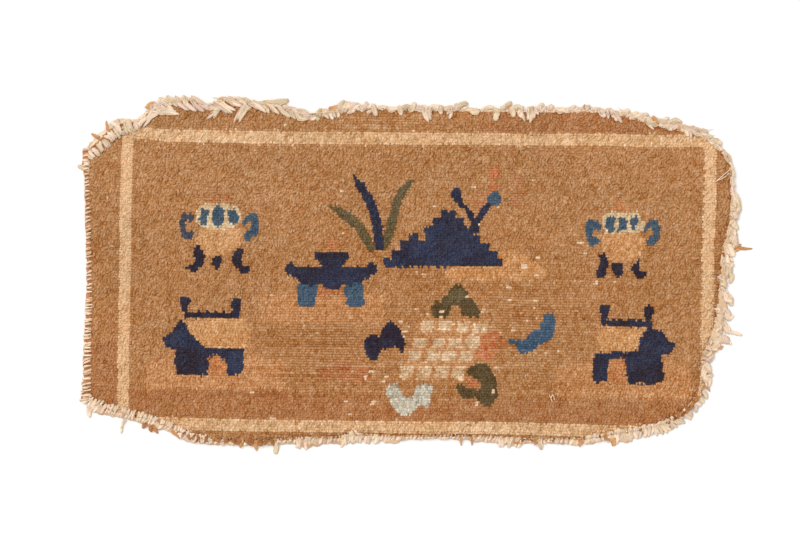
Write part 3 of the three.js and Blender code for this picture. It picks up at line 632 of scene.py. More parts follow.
def make_piece(name, verts, faces, dye, slot, planar=True):
    """A piece from points in millimetres, faces as arrays of equal-sided rows, and a colour per point: its
    dye with any painted shade.
    """
    mesh = bpy.data.meshes.new(name)
    mesh.vertices.add(len(verts))
    mesh.vertices.foreach_set("co", (np.asarray(verts, np.float32) * MM).ravel())
    sizes = np.concatenate([np.full(len(f), f.shape[1]) for f in faces])
    corners = np.concatenate([np.asarray(f).ravel() for f in faces]).astype(np.int32)
    starts = np.concatenate([[0], np.cumsum(sizes)[:-1]]).astype(np.int32)
    mesh.loops.add(len(corners))
    mesh.loops.foreach_set("vertex_index", corners)
    mesh.polygons.add(len(sizes))
    mesh.polygons.foreach_set("loop_start", starts)
    mesh.update(calc_edges=True)
    mesh.polygons.foreach_set("use_smooth", np.ones(len(sizes), bool))
    # The dye attribute holds each point's colour, painted shade and highlight included.
    layer = mesh.color_attributes.new("dye", "FLOAT_COLOR", "POINT")
    rgba = np.ones((len(verts), 4), np.float32)
    rgba[:, :3] = linear(dye)
    layer.data.foreach_set("color", rgba.ravel())
    if planar:
        flat = np.asarray(verts, float)[:, :2]
        low, high = flat.min(0), flat.max(0)
        flat = UV_MARGIN + (1 - 2 * UV_MARGIN) * (flat - low) / (high - low)
        uv = mesh.uv_layers.new(name="OFBake")
        uv.data.foreach_set("uv", flat[corners].astype(np.float32).ravel())
    mesh.validate()
    mesh.materials.append(MATERIALS[slot])
    piece = bpy.data.objects.new(name, mesh)
    bpy.context.scene.collection.objects.link(piece)
    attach(piece, "root")
    return piece


def yarn_material(name, sheen, grain, depth, streak):
    """Dyed yarn: the knot's own colour with its painted shade, fine fibres stretched by `streak`, and a soft
    fuzz.
    """
    material = bpy.data.materials.new(name)
    material.use_nodes = True
    tree = material.node_tree

    def fill(node, **inputs):
        """Sets inputs, named with _ for a space, to a number or to another node's output."""
        for key, value in inputs.items():
            socket = node.inputs[key.replace("_", " ")]
            if isinstance(value, bpy.types.NodeSocket):
                tree.links.new(value, socket)
            else:
                socket.default_value = value
        return node.outputs

    dye = tree.nodes.new("ShaderNodeAttribute")
    dye.attribute_name = "dye"
    place = tree.nodes.new("ShaderNodeTexCoord").outputs["Object"]
    stretched = fill(tree.nodes.new("ShaderNodeMapping"), Scale=streak, Vector=place)["Vector"]
    noise = tree.nodes.new("ShaderNodeTexNoise")
    fibres = fill(noise, Scale=grain, Detail=3.0, Roughness=0.65, Vector=stretched)["Fac"]
    shades = tree.nodes.new("ShaderNodeMapRange")
    shade = fill(shades, From_Min=0.3, From_Max=0.7, To_Min=1 - depth, To_Max=1 + depth, Value=fibres)
    tint = tree.nodes.new("ShaderNodeVectorMath")
    tint.operation = "SCALE"
    colour = fill(tint, Vector=dye.outputs["Color"], Scale=shade["Result"])["Vector"]
    rough = fill(tree.nodes.new("ShaderNodeMapRange"), To_Min=0.98, To_Max=0.82, Value=fibres)["Result"]
    bump = fill(tree.nodes.new("ShaderNodeBump"), Strength=0.5, Distance=0.0004, Height=fibres)["Normal"]
    shader = tree.nodes["Principled BSDF"]
    fill(shader, Base_Color=colour, Roughness=rough, Normal=bump)
    fill(shader, Specular_IOR_Level=0.2, Sheen_Weight=sheen, Sheen_Roughness=0.5)
    return material


# The wools' sheen, and how far the shade of their fibres goes up and down.
WOOL_LOOKS = {
    "camel_wool": (0.10, 0.20),
    "straw_wool": (0.08, 0.14),
    "navy_wool": (0.05, 0.28),
    "blue_wool": (0.06, 0.24),
    "olive_wool": (0.06, 0.24),
    "ivory_wool": (0.08, 0.12),
    "rust_wool": (0.08, 0.20),
}
WOOL_GRAIN, COTTON_GRAIN = 1400, 1100
WOOL_STREAK, COTTON_STREAK = (1.0, 1.0, 0.35), (1.0, 1.0, 1.0)
MATERIALS = {
    slot: yarn_material(slot, sheen, WOOL_GRAIN, depth, WOOL_STREAK)
    for slot, (sheen, depth) in WOOL_LOOKS.items()
}
MATERIALS["cotton"] = yarn_material("cotton", 0.10, COTTON_GRAIN, 0.13, COTTON_STREAK)


# The knots

def knot_places(halves, rows):
    """Plan places of the knots' tufts. They follow the stripe's four sides."""
    u, v = (halves + 0.5) / HALF_KNOTS, (rows + 0.5) / ROWS
    tables = (STRIPE_FAR, STRIPE_NEAR, STRIPE_LEFT, STRIPE_RIGHT)
    far, near, left, right = (np.array(table, float).T for table in tables)
    x, y = DESIGN_LEFT + DESIGN_WIDTH * u, DESIGN_FAR + DESIGN_DEPTH * v
    for _ in range(4):
        x0, x1 = np.interp(y, *left), np.interp(y, *right)
        y0, y1 = np.interp(x, *far), np.interp(x, *near)
        x, y = x0 + (x1 - x0) * u, y0 + (y1 - y0) * v
    x = x + 0.5 * drift(x, y, 40, 25, 11)
    y = y + 0.45 * drift(x, y, 60, 30, 12)
    return np.stack([x, y], 1)


rng = np.random.default_rng(977)
half_index, row_index = np.meshgrid(
    np.arange(-OUTER_HALVES, HALF_KNOTS + OUTER_HALVES), np.arange(-FAR_ROWS, ROWS + NEAR_ROWS))
half_index, row_index = half_index.ravel(), row_index.ravel()
plan = knot_places(half_index, row_index)
on_rug = inside(plan_to_mm(plan), outline) | inside(plan, CORNER_OVERHANG)
half_index, row_index, plan = half_index[on_rug], row_index[on_rug], plan[on_rug]
x_plan, y_plan = plan.T
tufts = plan_to_mm(plan)
tuft_count = len(tufts)
distance = edge_distance(tufts)

DYE_NAMES = list(DYES)
number_of = DYE_NAMES.index
dye_index = np.full(tuft_count, number_of("camel"))


def is_dyed(*names):
    """Which tufts have one of these dyes."""
    return np.isin(dye_index, [number_of(name) for name in names])


# The stripe's knots aren't quite in line, and where two dyes meet, some tufts lie over the other.
half_seen = half_index + 0.5 + rng.normal(size=tuft_count) * 0.18
row_seen = row_index + 0.5 + rng.normal(size=tuft_count) * 0.33
from_right = HALF_KNOTS - half_seen + 0.5 * np.sign(np.sin(row_index * 1.9))
in_frame = (half_seen > 0) & (half_seen < HALF_KNOTS) & (row_seen > 0) & (row_seen < ROWS)
on_side_stripe = in_frame & ((half_seen < STRIPE_LEFT_HALVES) | (from_right < STRIPE_RIGHT_HALVES))
on_stripe = on_side_stripe | (in_frame & ((row_seen < STRIPE_ROWS) | (row_seen > ROWS - STRIPE_ROWS)))
blurred = plan + rng.normal(size=plan.shape) * [1.6, 1.3]
toothed = plan + rng.normal(size=plan.shape) * [0.15, 0.6]
for dye, corners in FIGURES:
    seen = blurred if dye in SOFT_EDGED else toothed
    dye_index[inside(seen, corners)] = number_of(dye)
dye_index[on_stripe] = number_of("straw")

# Draws that the two halves of a knot share, and those of a whole row or column of knots.
DRAWS = 400
knot_pair, knot_row = (half_index // 2) % DRAWS, row_index % DRAWS
knot_draw = np.random.default_rng(51).uniform(size=(DRAWS, DRAWS))[knot_pair, knot_row]
knot_shade = np.random.default_rng(52).normal(size=(DRAWS, DRAWS))[knot_pair, knot_row]
loss = np.random.default_rng(53).uniform(size=(DRAWS, DRAWS))[knot_pair, knot_row]
row_shade = np.random.default_rng(54).normal(size=DRAWS)[knot_row]
column_shade = np.random.default_rng(55).normal(size=DRAWS)[knot_pair]

# Single knots of a neighbouring shade strewn in the ground, and mottled rust.
in_ground = is_dyed("camel")
dye_index[in_ground & (knot_draw > 0.992)] = number_of("sand")
dye_index[in_ground & (knot_draw < 0.006)] = number_of("umber")
thinned = 0.5 + 0.9 * drift(x_plan, y_plan, 6, 6, 41)
dye_index[is_dyed("rust", "russet") & (knot_draw < 0.5 * thinned)] = number_of("camel")

# Knots worn down to the cotton: those of the table, and a few strewn where the pile is low.
bare = np.zeros(tuft_count, bool)
for x, y, width, height in BARE_KNOTS:
    bare |= (np.abs(x_plan - x) < width / 2) & (np.abs(y_plan - y) < height / 2)
bare |= (loss < 0.0001 + 0.004 * np.clip(wear_at(tufts) - 0.8, 0, 1)) & (distance > 8)
bare &= ~is_dyed("navy", "slate", "aubergine", "blue")

rows_show = np.zeros(tuft_count)
for *place, strength in ROWS_SHOW:
    rows_show = np.maximum(rows_show, strength * nearness(x_plan, y_plan, place, 0.7))

# The dark blues pass into each other, bluer or browner a few knots at a time.
base = np.array([dyed(name) for name in DYE_NAMES])[dye_index]
dark = is_dyed("navy", "slate", "aubergine")
lean_blue = np.clip(0.45 + 1.3 * drift(x_plan, y_plan, 13, 9, 42) + 0.3 * knot_shade, 0, 1)[:, None]
blend = dyed("aubergine") * (1 - lean_blue) + dyed("slate") * lean_blue
base[dark] = 0.55 * base[dark] + 0.45 * blend[dark]

# Shading of the dye lots: slow bands along the rows, spots a few knots wide, and each knot's own.
MIDDLE_VALUE = 1.02
bands = drift(x_plan, y_plan, 160, 16, 21) * 0.03 + drift(x_plan, y_plan, 45, 22, 22) * 0.045
spots = drift(x_plan, y_plan, 8, 6, 23) * 0.10 + drift(x_plan, y_plan, 3.5, 4.5, 25) * 0.14
spots *= 1 - 0.35 * rows_show
rows_tone = row_shade * 0.105 * rows_show
rows_tone *= 1 + 0.8 * drift(x_plan, y_plan, 22, 3, 28)
own_tuft = rng.normal(size=tuft_count) * (0.12 + 0.03 * rows_show)
# Tufts darker within a few millimetres of the cloth's edge, more in some places than in others.
edge_mottle = np.clip(0.6 + 1.2 * drift(x_plan, y_plan, 3, 3, 27), 0, 1.5)
at_edge = 0.42 * np.exp(-(distance / 2.4) ** 2) * edge_mottle
value = MIDDLE_VALUE + bands + spots + rows_tone + knot_shade * 0.06 + own_tuft - at_edge
value += 0.04 * np.clip((260 - y_plan) / 60, 0, 1) - 0.1 * rows_show
value += column_shade * 0.03 * rows_show
for *place, strength in LIGHTER_PLACES:
    value += strength * nearness(x_plan, y_plan, place)

# The stripe is evener than the ground, and paler towards the far left.
side_value = 1.07 + 0.05 * np.clip((300 - y_plan) / 60, 0, 1) + 0.62 * (value - MIDDLE_VALUE)
value = np.where(on_side_stripe, side_value, value)
on_far_stripe = on_stripe & ~on_side_stripe & (row_index < ROWS / 2)
value = value + on_far_stripe * (0.05 - 0.08 * np.clip((x_plan - 200) / 400, 0, 1))

warmth = 1 + drift(x_plan, y_plan, 60, 40, 24) * 0.01 + drift(x_plan, y_plan, 9, 7, 26) * 0.01
colours = base * np.stack([warmth, np.ones(tuft_count), 1 / warmth], 1)
colours = colours * (1 + rows_show[:, None] * [0, 0.012, 0.05])

# Worn rows show light dashes where single knots have thinned.
in_thin_row = np.zeros(tuft_count, bool)
for x0, x1, y in THIN_ROWS:
    in_thin_row |= (x_plan > x0) & (x_plan < x1) & (np.abs(y_plan - y) < 1.2)
dash = np.maximum(0.5 * rows_show * (knot_draw > 0.965), in_thin_row * (knot_draw < 0.4)) * in_ground
dash = 0.5 * dash[:, None]
colours = colours * (1 - dash) + dyed("cream") * dash
colours[bare] = dyed("bleached")
value[bare] = rng.uniform(0.78, 1.02, bare.sum())
dye_index[bare] = number_of("cotton")

# Tufts beside another dye stand straighter, so that the figures keep their outlines.
SPARE_HALVES, SPARE_ROWS = 30, 20
number_at = np.full((HALF_KNOTS + 2 * SPARE_HALVES, ROWS + 2 * SPARE_ROWS), -1)
number_at[half_index + SPARE_HALVES, row_index + SPARE_ROWS] = np.arange(tuft_count)
beside_other = np.zeros(tuft_count, bool)
ground_dyes = is_dyed("camel", "umber", "sand", "fawn")
for step_x, step_y in ((1, 0), (-1, 0), (2, 0), (-2, 0), (0, 1), (0, -1)):
    other = number_at[half_index + SPARE_HALVES + step_x, row_index + SPARE_ROWS + step_y]
    beside_other |= (other >= 0) & (dye_index[other] != dye_index) & ~(ground_dyes & ground_dyes[other])

# Pale wool shows less of the shade between its tufts.
depth_of_shade = 1 - 0.5 * np.clip((colours @ BRIGHTNESS - 0.55) / 0.12, 0, 1)

# One tuft: a base ring, a wider ring near the top and a crown.
TUFT_POINTS = 9
BASE_RING = np.array([(-1, -1), (1, -1), (1, 1), (-1, 1)]) * 0.5
WALL_FACES = np.array([(0, 1, 5, 4), (1, 2, 6, 5), (2, 3, 7, 6), (3, 0, 4, 7)])
CROWN_FACES = np.array([(4, 5, 8), (5, 6, 8), (6, 7, 8), (7, 4, 8)])

# Where the pile leans, in millimetres along X and Y, and how far its locks turn from that, in radians.
NAP = np.array([-0.15, -0.75])
SWIRL_MEAN = -0.4


def tuft_mesh(chosen):
    """The vertices, faces and dyes of these tufts. Full pile lies about in locks a few knots wide,
    and short pile stands straight, row by row."""
    count = len(chosen)
    draw = np.random.default_rng(77 + count)
    x, y = plan[chosen].T
    short = np.clip(rows_show[chosen], 0, 1)[:, None]
    full = 1 - short
    loose = full * np.where(beside_other[chosen], 0.3, 1.0)[:, None]
    tight = 1 - loose
    sway = draw.normal(size=(count, 2)) * np.where(beside_other[chosen], 0.4, 1.0)[:, None]
    centre = tufts[chosen] + sway * ([0.3, 0.15] + full * [0.2, 0.35])

    # How wide and how deep the tuft is, and how it is turned.
    width = draw.uniform(1.2, 1.7, (count, 1)) * tight + draw.uniform(1.0, 1.6, (count, 1)) * loose
    depth = draw.uniform(0.78, 0.96, (count, 1)) * tight + draw.uniform(1.25, 1.95, (count, 1)) * loose
    size = np.concatenate([HALF_PITCH * width, ROW_PITCH * depth], 1)
    swirl = 0.7 * drift(x, y, 7, 8, 61) + 0.45 * drift(x, y, 3.3, 4, 62) + draw.normal(size=count) * 0.3
    swirl = swirl + SWIRL_MEAN
    turn = swirl * loose[:, 0] + draw.normal(size=count) * 0.08
    cos, sin = np.cos(turn), np.sin(turn)
    spin = np.stack([cos, -sin, sin, cos], 1).reshape(-1, 2, 2)
    ring = np.einsum("nij,nkj->nki", spin, BASE_RING[None] * size[:, None])

    # How high it stands, and where it leans.
    tuft_height = draw.normal(size=count) * (0.16 + 0.3 * full[:, 0])
    clump = drift(x, y, 4.5, 4.5, 63) * 0.34 * full[:, 0]
    top = pile_height(tufts[chosen], distance[chosen]) + tuft_height + clump
    top = top - 0.5 * bare[chosen]
    fall = np.stack([sin, -cos], 1) * (0.25 + 0.75 * full)
    lean = NAP * (0.3 + 0.7 * full) + fall * 0.6 + draw.normal(size=(count, 2)) * 0.2
    shoulder = (0.5 + 0.7 * full[:, 0]) * draw.uniform(0.8, 1.2, count)
    verts = np.empty((count, TUFT_POINTS, 3))
    verts[:, :4, :2] = centre[:, None] + ring * 1.25
    verts[:, :4, 2] = GROUND_TOP - 0.5
    verts[:, 4:8, :2] = (centre + lean * 0.6)[:, None] + ring
    verts[:, 4:8, 2] = (top - shoulder)[:, None] + draw.normal(size=(count, 4)) * (0.14 + 0.16 * full)
    verts[:, 8, :2] = centre + lean * 1.1
    verts[:, 8, 2] = top + 0.2

    # Painted shade darkens its foot and walls; its crown is paler, partly faded tips and partly painted
    # highlight.
    light = np.empty((count, TUFT_POINTS))
    light[:, :4] = -0.35
    light[:, 4:8] = -0.15 * short - 0.17 * full
    light[:, 8:] = 0.1 * short + 0.2 * full
    light = (1 + light * depth_of_shade[chosen, None]) * value[chosen, None]
    tint = faded_and_shaded(np.repeat(colours[chosen][:, None], TUFT_POINTS, axis=1), light)
    offset = (TUFT_POINTS * np.arange(count))[:, None, None]
    walls = (WALL_FACES[None] + offset).reshape(-1, 4)
    crowns = (CROWN_FACES[None] + offset).reshape(-1, 3)
    return verts.reshape(-1, 3), [walls, crowns], tint.reshape(-1, 3)


SLOT_OF_DYE = {dye: slot for slot, dyes in WOOL_DYES.items() for dye in dyes}
slot_of_tuft = np.array([SLOT_OF_DYE.get(name, "cotton") for name in DYE_NAMES])[dye_index]
in_field = (
    (half_index >= STRIPE_LEFT_HALVES) & (from_right >= STRIPE_RIGHT_HALVES)
    & (row_index >= STRIPE_ROWS) & (row_index < ROWS - STRIPE_ROWS)
)
camel = slot_of_tuft == "camel_wool"
straw = slot_of_tuft == "straw_wool"
third = half_index // (HALF_KNOTS // 3)
PILE_PIECES = {
    "pile_border": ("camel_wool", camel & ~in_field),
    "pile_field_left": ("camel_wool", camel & in_field & (third == 0)),
    "pile_field_middle": ("camel_wool", camel & in_field & (third == 1)),
    "pile_field_right": ("camel_wool", camel & in_field & (third == 2)),
    "pile_stripe": ("straw_wool", straw & on_stripe),
    "pile_fawn": ("straw_wool", straw & ~on_stripe),
}
for wool in ("navy", "blue", "olive", "ivory", "rust"):
    PILE_PIECES["pile_" + wool] = (wool + "_wool", slot_of_tuft == wool + "_wool")
PILE_PIECES["pile_bare_knots"] = ("cotton", slot_of_tuft == "cotton")
for piece_name, (slot, mask) in PILE_PIECES.items():
    verts, faces, tint = tuft_mesh(np.flatnonzero(mask))
    make_piece(piece_name, verts, faces, tint, slot)

# The feet of the tufts, matted together a little under their tips.
every_knot = number_at[::2]
mat_quads = np.stack([every_knot[:-1, 1:], every_knot[1:, 1:], every_knot[1:, :-1], every_knot[:-1, :-1]], -1)
mat_quads = mat_quads.reshape(-1, 4)
mat_quads = mat_quads[(mat_quads >= 0).all(1)]
mat_top = pile_height(tufts, distance) - BED_DEPTH + 0.4 * rows_show + rng.normal(size=tuft_count) * 0.15
# Painted shade: the mat is darker than the tufts above it, less so under pale wool.
mat_shaded_colour = faded_and_shaded(colours, (1 - rng.uniform(0.2, 0.4, tuft_count) * depth_of_shade) * value)
make_piece("pile_mat", np.column_stack([tufts, mat_top]), [mat_quads], mat_shaded_colour, "camel_wool")


# The woven ground

def side_points(side, cells):
    """Points that part the side into this many cells."""
    at = np.linspace(0, side.length, cells + 1)
    return np.stack([np.interp(at, np.arange(len(side.points)), side.points[:, k]) for k in (0, 1)], 1)


def ground_grid():
    """Points over the whole cloth, blended from its four sides."""
    near, right = side_points(near_side, GROUND_LONG), side_points(right_side, GROUND_SHORT)
    far, left = side_points(far_side, GROUND_LONG)[::-1], side_points(left_side, GROUND_SHORT)[::-1]
    u = np.linspace(0, 1, GROUND_LONG + 1)[None, :, None]
    v = np.linspace(0, 1, GROUND_SHORT + 1)[:, None, None]
    grid = near[None] * (1 - v) + far[None] * v + left[:, None] * (1 - u) + right[:, None] * u
    grid -= near[0] * (1 - u) * (1 - v) + near[-1] * u * (1 - v) + far[0] * (1 - u) * v + far[-1] * u * v
    return grid + OUTLINE_SHIFT


def dye_under(points):
    """The dye that shows on the back at these points: that of a tuft in the same small cell."""
    number_in = {}
    for number, cell in enumerate(map(tuple, (tufts // BACK_CELL).astype(int))):
        number_in.setdefault(cell, number)
    result = np.broadcast_to(dyed("camel"), (len(points), 3)).copy()
    for n, (x, y) in enumerate(points):
        number = number_in.get((int(x // BACK_CELL), int(y // BACK_CELL)))
        if number is not None:
            result[n] = base[number]
    return result


GROUND_LONG, GROUND_SHORT = 110, 60
BACK_CELL = 2.5
flat = ground_grid().reshape(-1, 2)
weave = 0.12 * np.sin(flat[:, 1] * math.pi / ROW_PITCH) + 0.1 * drift(*flat.T, 4, 3, 31)
top = np.column_stack([flat, GROUND_TOP + weave])
under = np.column_stack([flat, np.full(len(flat), GROUND_BOTTOM)])
ground_dye = np.vstack([
    faded_and_shaded(np.broadcast_to(dyed("hidden"), (len(flat), 3)), 1 + 0.1 * drift(*flat.T, 6, 3, 32)),
    faded_and_shaded(dye_under(flat), 0.9 + 0.08 * drift(*flat.T, 5, 3, 33)),
])
ground_faces = slab_faces(GROUND_SHORT + 1, GROUND_LONG + 1)
ground = make_piece("woven_ground", np.vstack([top, under]), ground_faces, ground_dye, "cotton", planar=False)


# The cotton edges

COTTON = dyed("cotton")
SOILED = dyed("soiled")
# Red-brown felt colour, partly real and partly painted shade: the stain of the near and left felt bands, and
# the shaded sides and underside of the locks.
RED_FELT_AND_SHADE = dyed("red_felt")

# The section of a matted lock, and from root to tip its swell, as a round or a pointed one, and its
# thickness.
BODY_SIDES = 8
BODY_SWELL = np.array([0.6, 0.88, 1.0, 1.05, 1.0, 0.84, 0.42])
POINTED = np.array([1.0, 1.0, 0.95, 0.85, 0.68, 0.48, 0.22])
BODY_THICKNESS = np.array([0.7, 0.95, 1, 1, 1, 0.85, 0.5])

# How far a lock's own dye leans to pink or to yellow.
YARN_CAST = np.array([0.003, -0.004, 0.021])

# A whip stitch from the pile over the edge to the floor: how far out it is at each step, as a share of
# its reach, and how high above the floor, as a share of its top and millimetres more.
STITCH_OUT = np.array([-1, -0.3, 0.35, 0.75, 1.0, 0.96])
STITCH_TOP = 4.7
STITCH_RISE = np.array([1, 1, 1, 0.78, 0.42, 0]) * STITCH_TOP + [-0.9, 0.35, 0.1, 0, 0, 0.3]
STITCH_SWELL = np.array([0.6, 1, 1, 1, 0.9, 0.6])


def tubes(paths, wide, thick, sides):
    """Closed tubes along paths (strand, step, xyz), with half widths and half thicknesses per step."""
    count, steps = paths.shape[:2]
    ahead = np.gradient(paths, axis=1)
    ahead /= np.linalg.norm(ahead, axis=2, keepdims=True) + 1e-9
    across = np.cross(ahead, [0, 0, 1.0])
    flat_part = np.linalg.norm(across, axis=2, keepdims=True)
    across = np.where(flat_part > 0.05, across / np.maximum(flat_part, 1e-6), [1.0, 0, 0])
    lift = np.cross(across, ahead)
    angle = np.arange(sides) * 2 * math.pi / sides + math.pi / sides
    ring = (
        paths[:, :, None]
        + np.cos(angle)[None, None, :, None] * (across * wide[..., None])[:, :, None]
        + np.sin(angle)[None, None, :, None] * (lift * thick[..., None])[:, :, None]
    )
    number = np.arange(count * steps * sides).reshape(count, steps, sides)
    a, b = number[:, :-1], number[:, 1:]
    walls = np.stack([a, np.roll(a, -1, 2), np.roll(b, -1, 2), b], -1).reshape(-1, 4)
    caps = np.concatenate([number[:, 0, ::-1], number[:, -1]])
    return ring.reshape(-1, 3), [walls, caps]


class Heap:
    """Meshes gathered for one piece."""

    def __init__(self):
        self.verts, self.faces, self.dyes, self.count = [], [], [], 0

    def add(self, verts, faces, dye):
        self.verts.append(verts)
        self.faces += [f + self.count for f in faces]
        self.dyes.append(np.broadcast_to(dye, verts.shape))
        self.count += len(verts)

    def piece(self, name, slot):
        by_size = {}
        for f in self.faces:
            by_size.setdefault(f.shape[1], []).append(f)
        faces = [np.concatenate(group) for group in by_size.values()]
        return make_piece(name, np.vstack(self.verts), faces, np.vstack(self.dyes), slot, planar=False)


def spread(side, pitch, draw, first=0.0, last=None):
    """Unevenly spaced places along a side."""
    last = side.length if last is None else last
    count = max(1, int((last - first) / pitch))
    return first + (np.arange(count) + 0.5) * (last - first) / count + draw.normal(size=count) * pitch * 0.16


def yarn_tint(count, steps, sides, draw, soil, dye, light=1.0):
    """Yarn that is browner at a strand's root, each strand in its own shade."""
    shade = draw.uniform(0.74, 1.15, count)[:, None]
    stain = (soil * draw.uniform(0, 1, count) ** 2)[:, None, None]
    fade = np.linspace(1, 0.4, steps)[None, :, None] * stain
    tint = faded_and_shaded(dye * (1 - fade) + SOILED * fade, shade * light, 1.2)
    return np.broadcast_to(tint[:, :, None], (count, steps, sides, 3)).reshape(-1, 3)


def felt_band(heap, side, share, height, seed, soil, stain_and_shade_dye=SOILED):
    """A matted band along a side: an uneven top, a wavy outer edge and a flat underside."""
    start, step, columns = -0.5, 1.4, 8
    stations = np.linspace(0, side.length, int(side.length / step) + 1)
    s, t = np.meshgrid(stations, np.linspace(0, 1, columns), indexing="ij")
    reach = side.reach_at(s) * (share + 0.16 * drift(s, 0, 5, 1, seed) + 0.08 * drift(s, 0, 1.8, 1, seed + 1))
    out = start + (reach - start) * t
    bumps = 1 + 0.22 * drift(s, out, 3.2, 2.4, seed + 2) + 0.2 * drift(s, out, 1.6, 1.3, seed + 3)
    rise = height * (1 - 0.72 * t**2.2) * bumps
    top, under = side.spot(s, out, 0, rise), side.spot(s, out, 0, 0.05)
    stain = np.clip(soil + 0.3 * drift(s, out, 9, 4, seed + 4), 0, 1)[..., None]
    # Painted shade: the whole band is darkened, for the locks over it, and its hollows more than its bumps.
    tint = faded_and_shaded(COTTON * (1 - stain) + stain_and_shade_dye * stain, 0.6 + 0.25 * bumps, 1.5).reshape(-1, 3)
    verts = np.vstack([top.reshape(-1, 3), under.reshape(-1, 3)])
    heap.add(verts, slab_faces(*s.shape), np.vstack([tint, tint]))


def locks(heap, side, draw, pitch, share, widths, lean, heights, strands, soil, steps=6, curl=1.0):
    """Floor locks along a side: each a sheaf of strands that runs out from it and narrows to its tip.
    Widths and heights are from and to, and the lean is in degrees."""
    stations = spread(side, pitch, draw)
    count = len(stations)
    length = side.reach_at(stations) * share
    width = draw.uniform(*widths, count)
    slope = np.tan(np.radians(draw.normal(size=count) * lean))
    height = draw.uniform(*heights, count)
    t = np.linspace(0, 1, steps)
    lock = np.repeat(np.arange(count), strands)
    n = len(lock)
    root = draw.uniform(-0.5, 0.5, n) * width[lock]
    run = length[lock] * draw.uniform(0.62, 1.06, n)
    start = draw.uniform(-1.2, 0.6, n)
    out = start[:, None] + (run - start)[:, None] * t
    narrow = 1 - 0.62 * t**1.4
    bend = (draw.normal(size=count) * 0.9 * curl)[lock][:, None] * np.sin(math.pi * t)
    stray = draw.normal(size=n)[:, None] * 0.55 * curl * t**2
    wiggle = 0.28 * curl * np.sin(draw.uniform(0, 6.28, n)[:, None] + t * draw.uniform(4, 9, n)[:, None])
    along = root[:, None] * narrow + slope[lock][:, None] * out + bend + stray + wiggle
    layer = draw.uniform(0.15, 1, n)
    rise = (height[lock] * layer)[:, None] * (1 - 0.75 * t**1.3) + 0.45
    rise = rise + 0.25 * np.sin(draw.uniform(0, 6.28, n)[:, None] + 7 * t)
    thick = draw.uniform(0.34, 0.55, n)[:, None] * (1 - 0.55 * t**2)
    paths = side.spot(stations[lock][:, None], out, along, np.maximum(rise, 0.4))
    verts, faces = tubes(paths, thick, thick * 0.85, 4)
    heap.add(verts, faces, yarn_tint(n, steps, 4, draw, soil, COTTON))


def surface_height(points):
    """The height of what lies at these places: pile, or cotton that thins out beyond the cloth."""
    flat = points.reshape(-1, 2)
    away = edge_distance(flat)
    over = np.where(inside(flat, outline), pile_height(flat, away), 3.4 * np.clip(1 - away / 11, 0, 1))
    return over.reshape(points.shape[:-1])


def parted(rows, draw, whole=4.5, halved=7.5):
    """The same locks, the wide ones parted into two or three that fan out and end unevenly."""
    result = []
    for x0, y0, x1, y1, width in rows:
        parts = 1 if width < whole else 2 if width < halved else 3
        root, tip = np.array([x0, y0], float), np.array([x1, y1], float)
        run = (tip - root) / np.hypot(*(tip - root))
        aside = np.array([-run[1], run[0]])
        for k in range(parts):
            place = (k + 0.5) / parts - 0.5
            shift = aside * width * place * 0.8 + run * draw.normal() * 0.8
            end = root + (tip - root) * draw.uniform(0.72, 1.08)
            end = end + aside * width * (place * 1.1 + draw.normal() * 0.14)
            result.append((*(root + shift), *end, width / parts * draw.uniform(1.0, 1.2 + 0.15 * parts)))
    return result


def moved(rows, right, down, slimmer=1.0):
    """The same locks a little to the right and down, and slimmer."""
    return [(x0 + right, y0 + down, x1 + right, y1 + down, w * slimmer) for x0, y0, x1, y1, w in rows]


def tangled(rows, draw, parts=3, narrowest=6):
    """Short pieces of yarn that lie this way and that where the wide ones of the given locks are."""
    result = []
    for x0, y0, x1, y1, width in rows:
        if width < narrowest:
            continue
        for _ in range(parts):
            part = draw.uniform(0.05, 0.9)
            middle = np.array([x0 + (x1 - x0) * part, y0 + (y1 - y0) * part])
            middle = middle + draw.uniform(-0.34, 0.34, 2) * width
            angle = math.atan2(y1 - y0, x1 - x0) + draw.normal() * 1.1
            half = np.array([math.cos(angle), math.sin(angle)]) * draw.uniform(2.2, 3.8)
            result.append((*(middle - half), *(middle + half), draw.uniform(2.2, 3.6)))
    return result


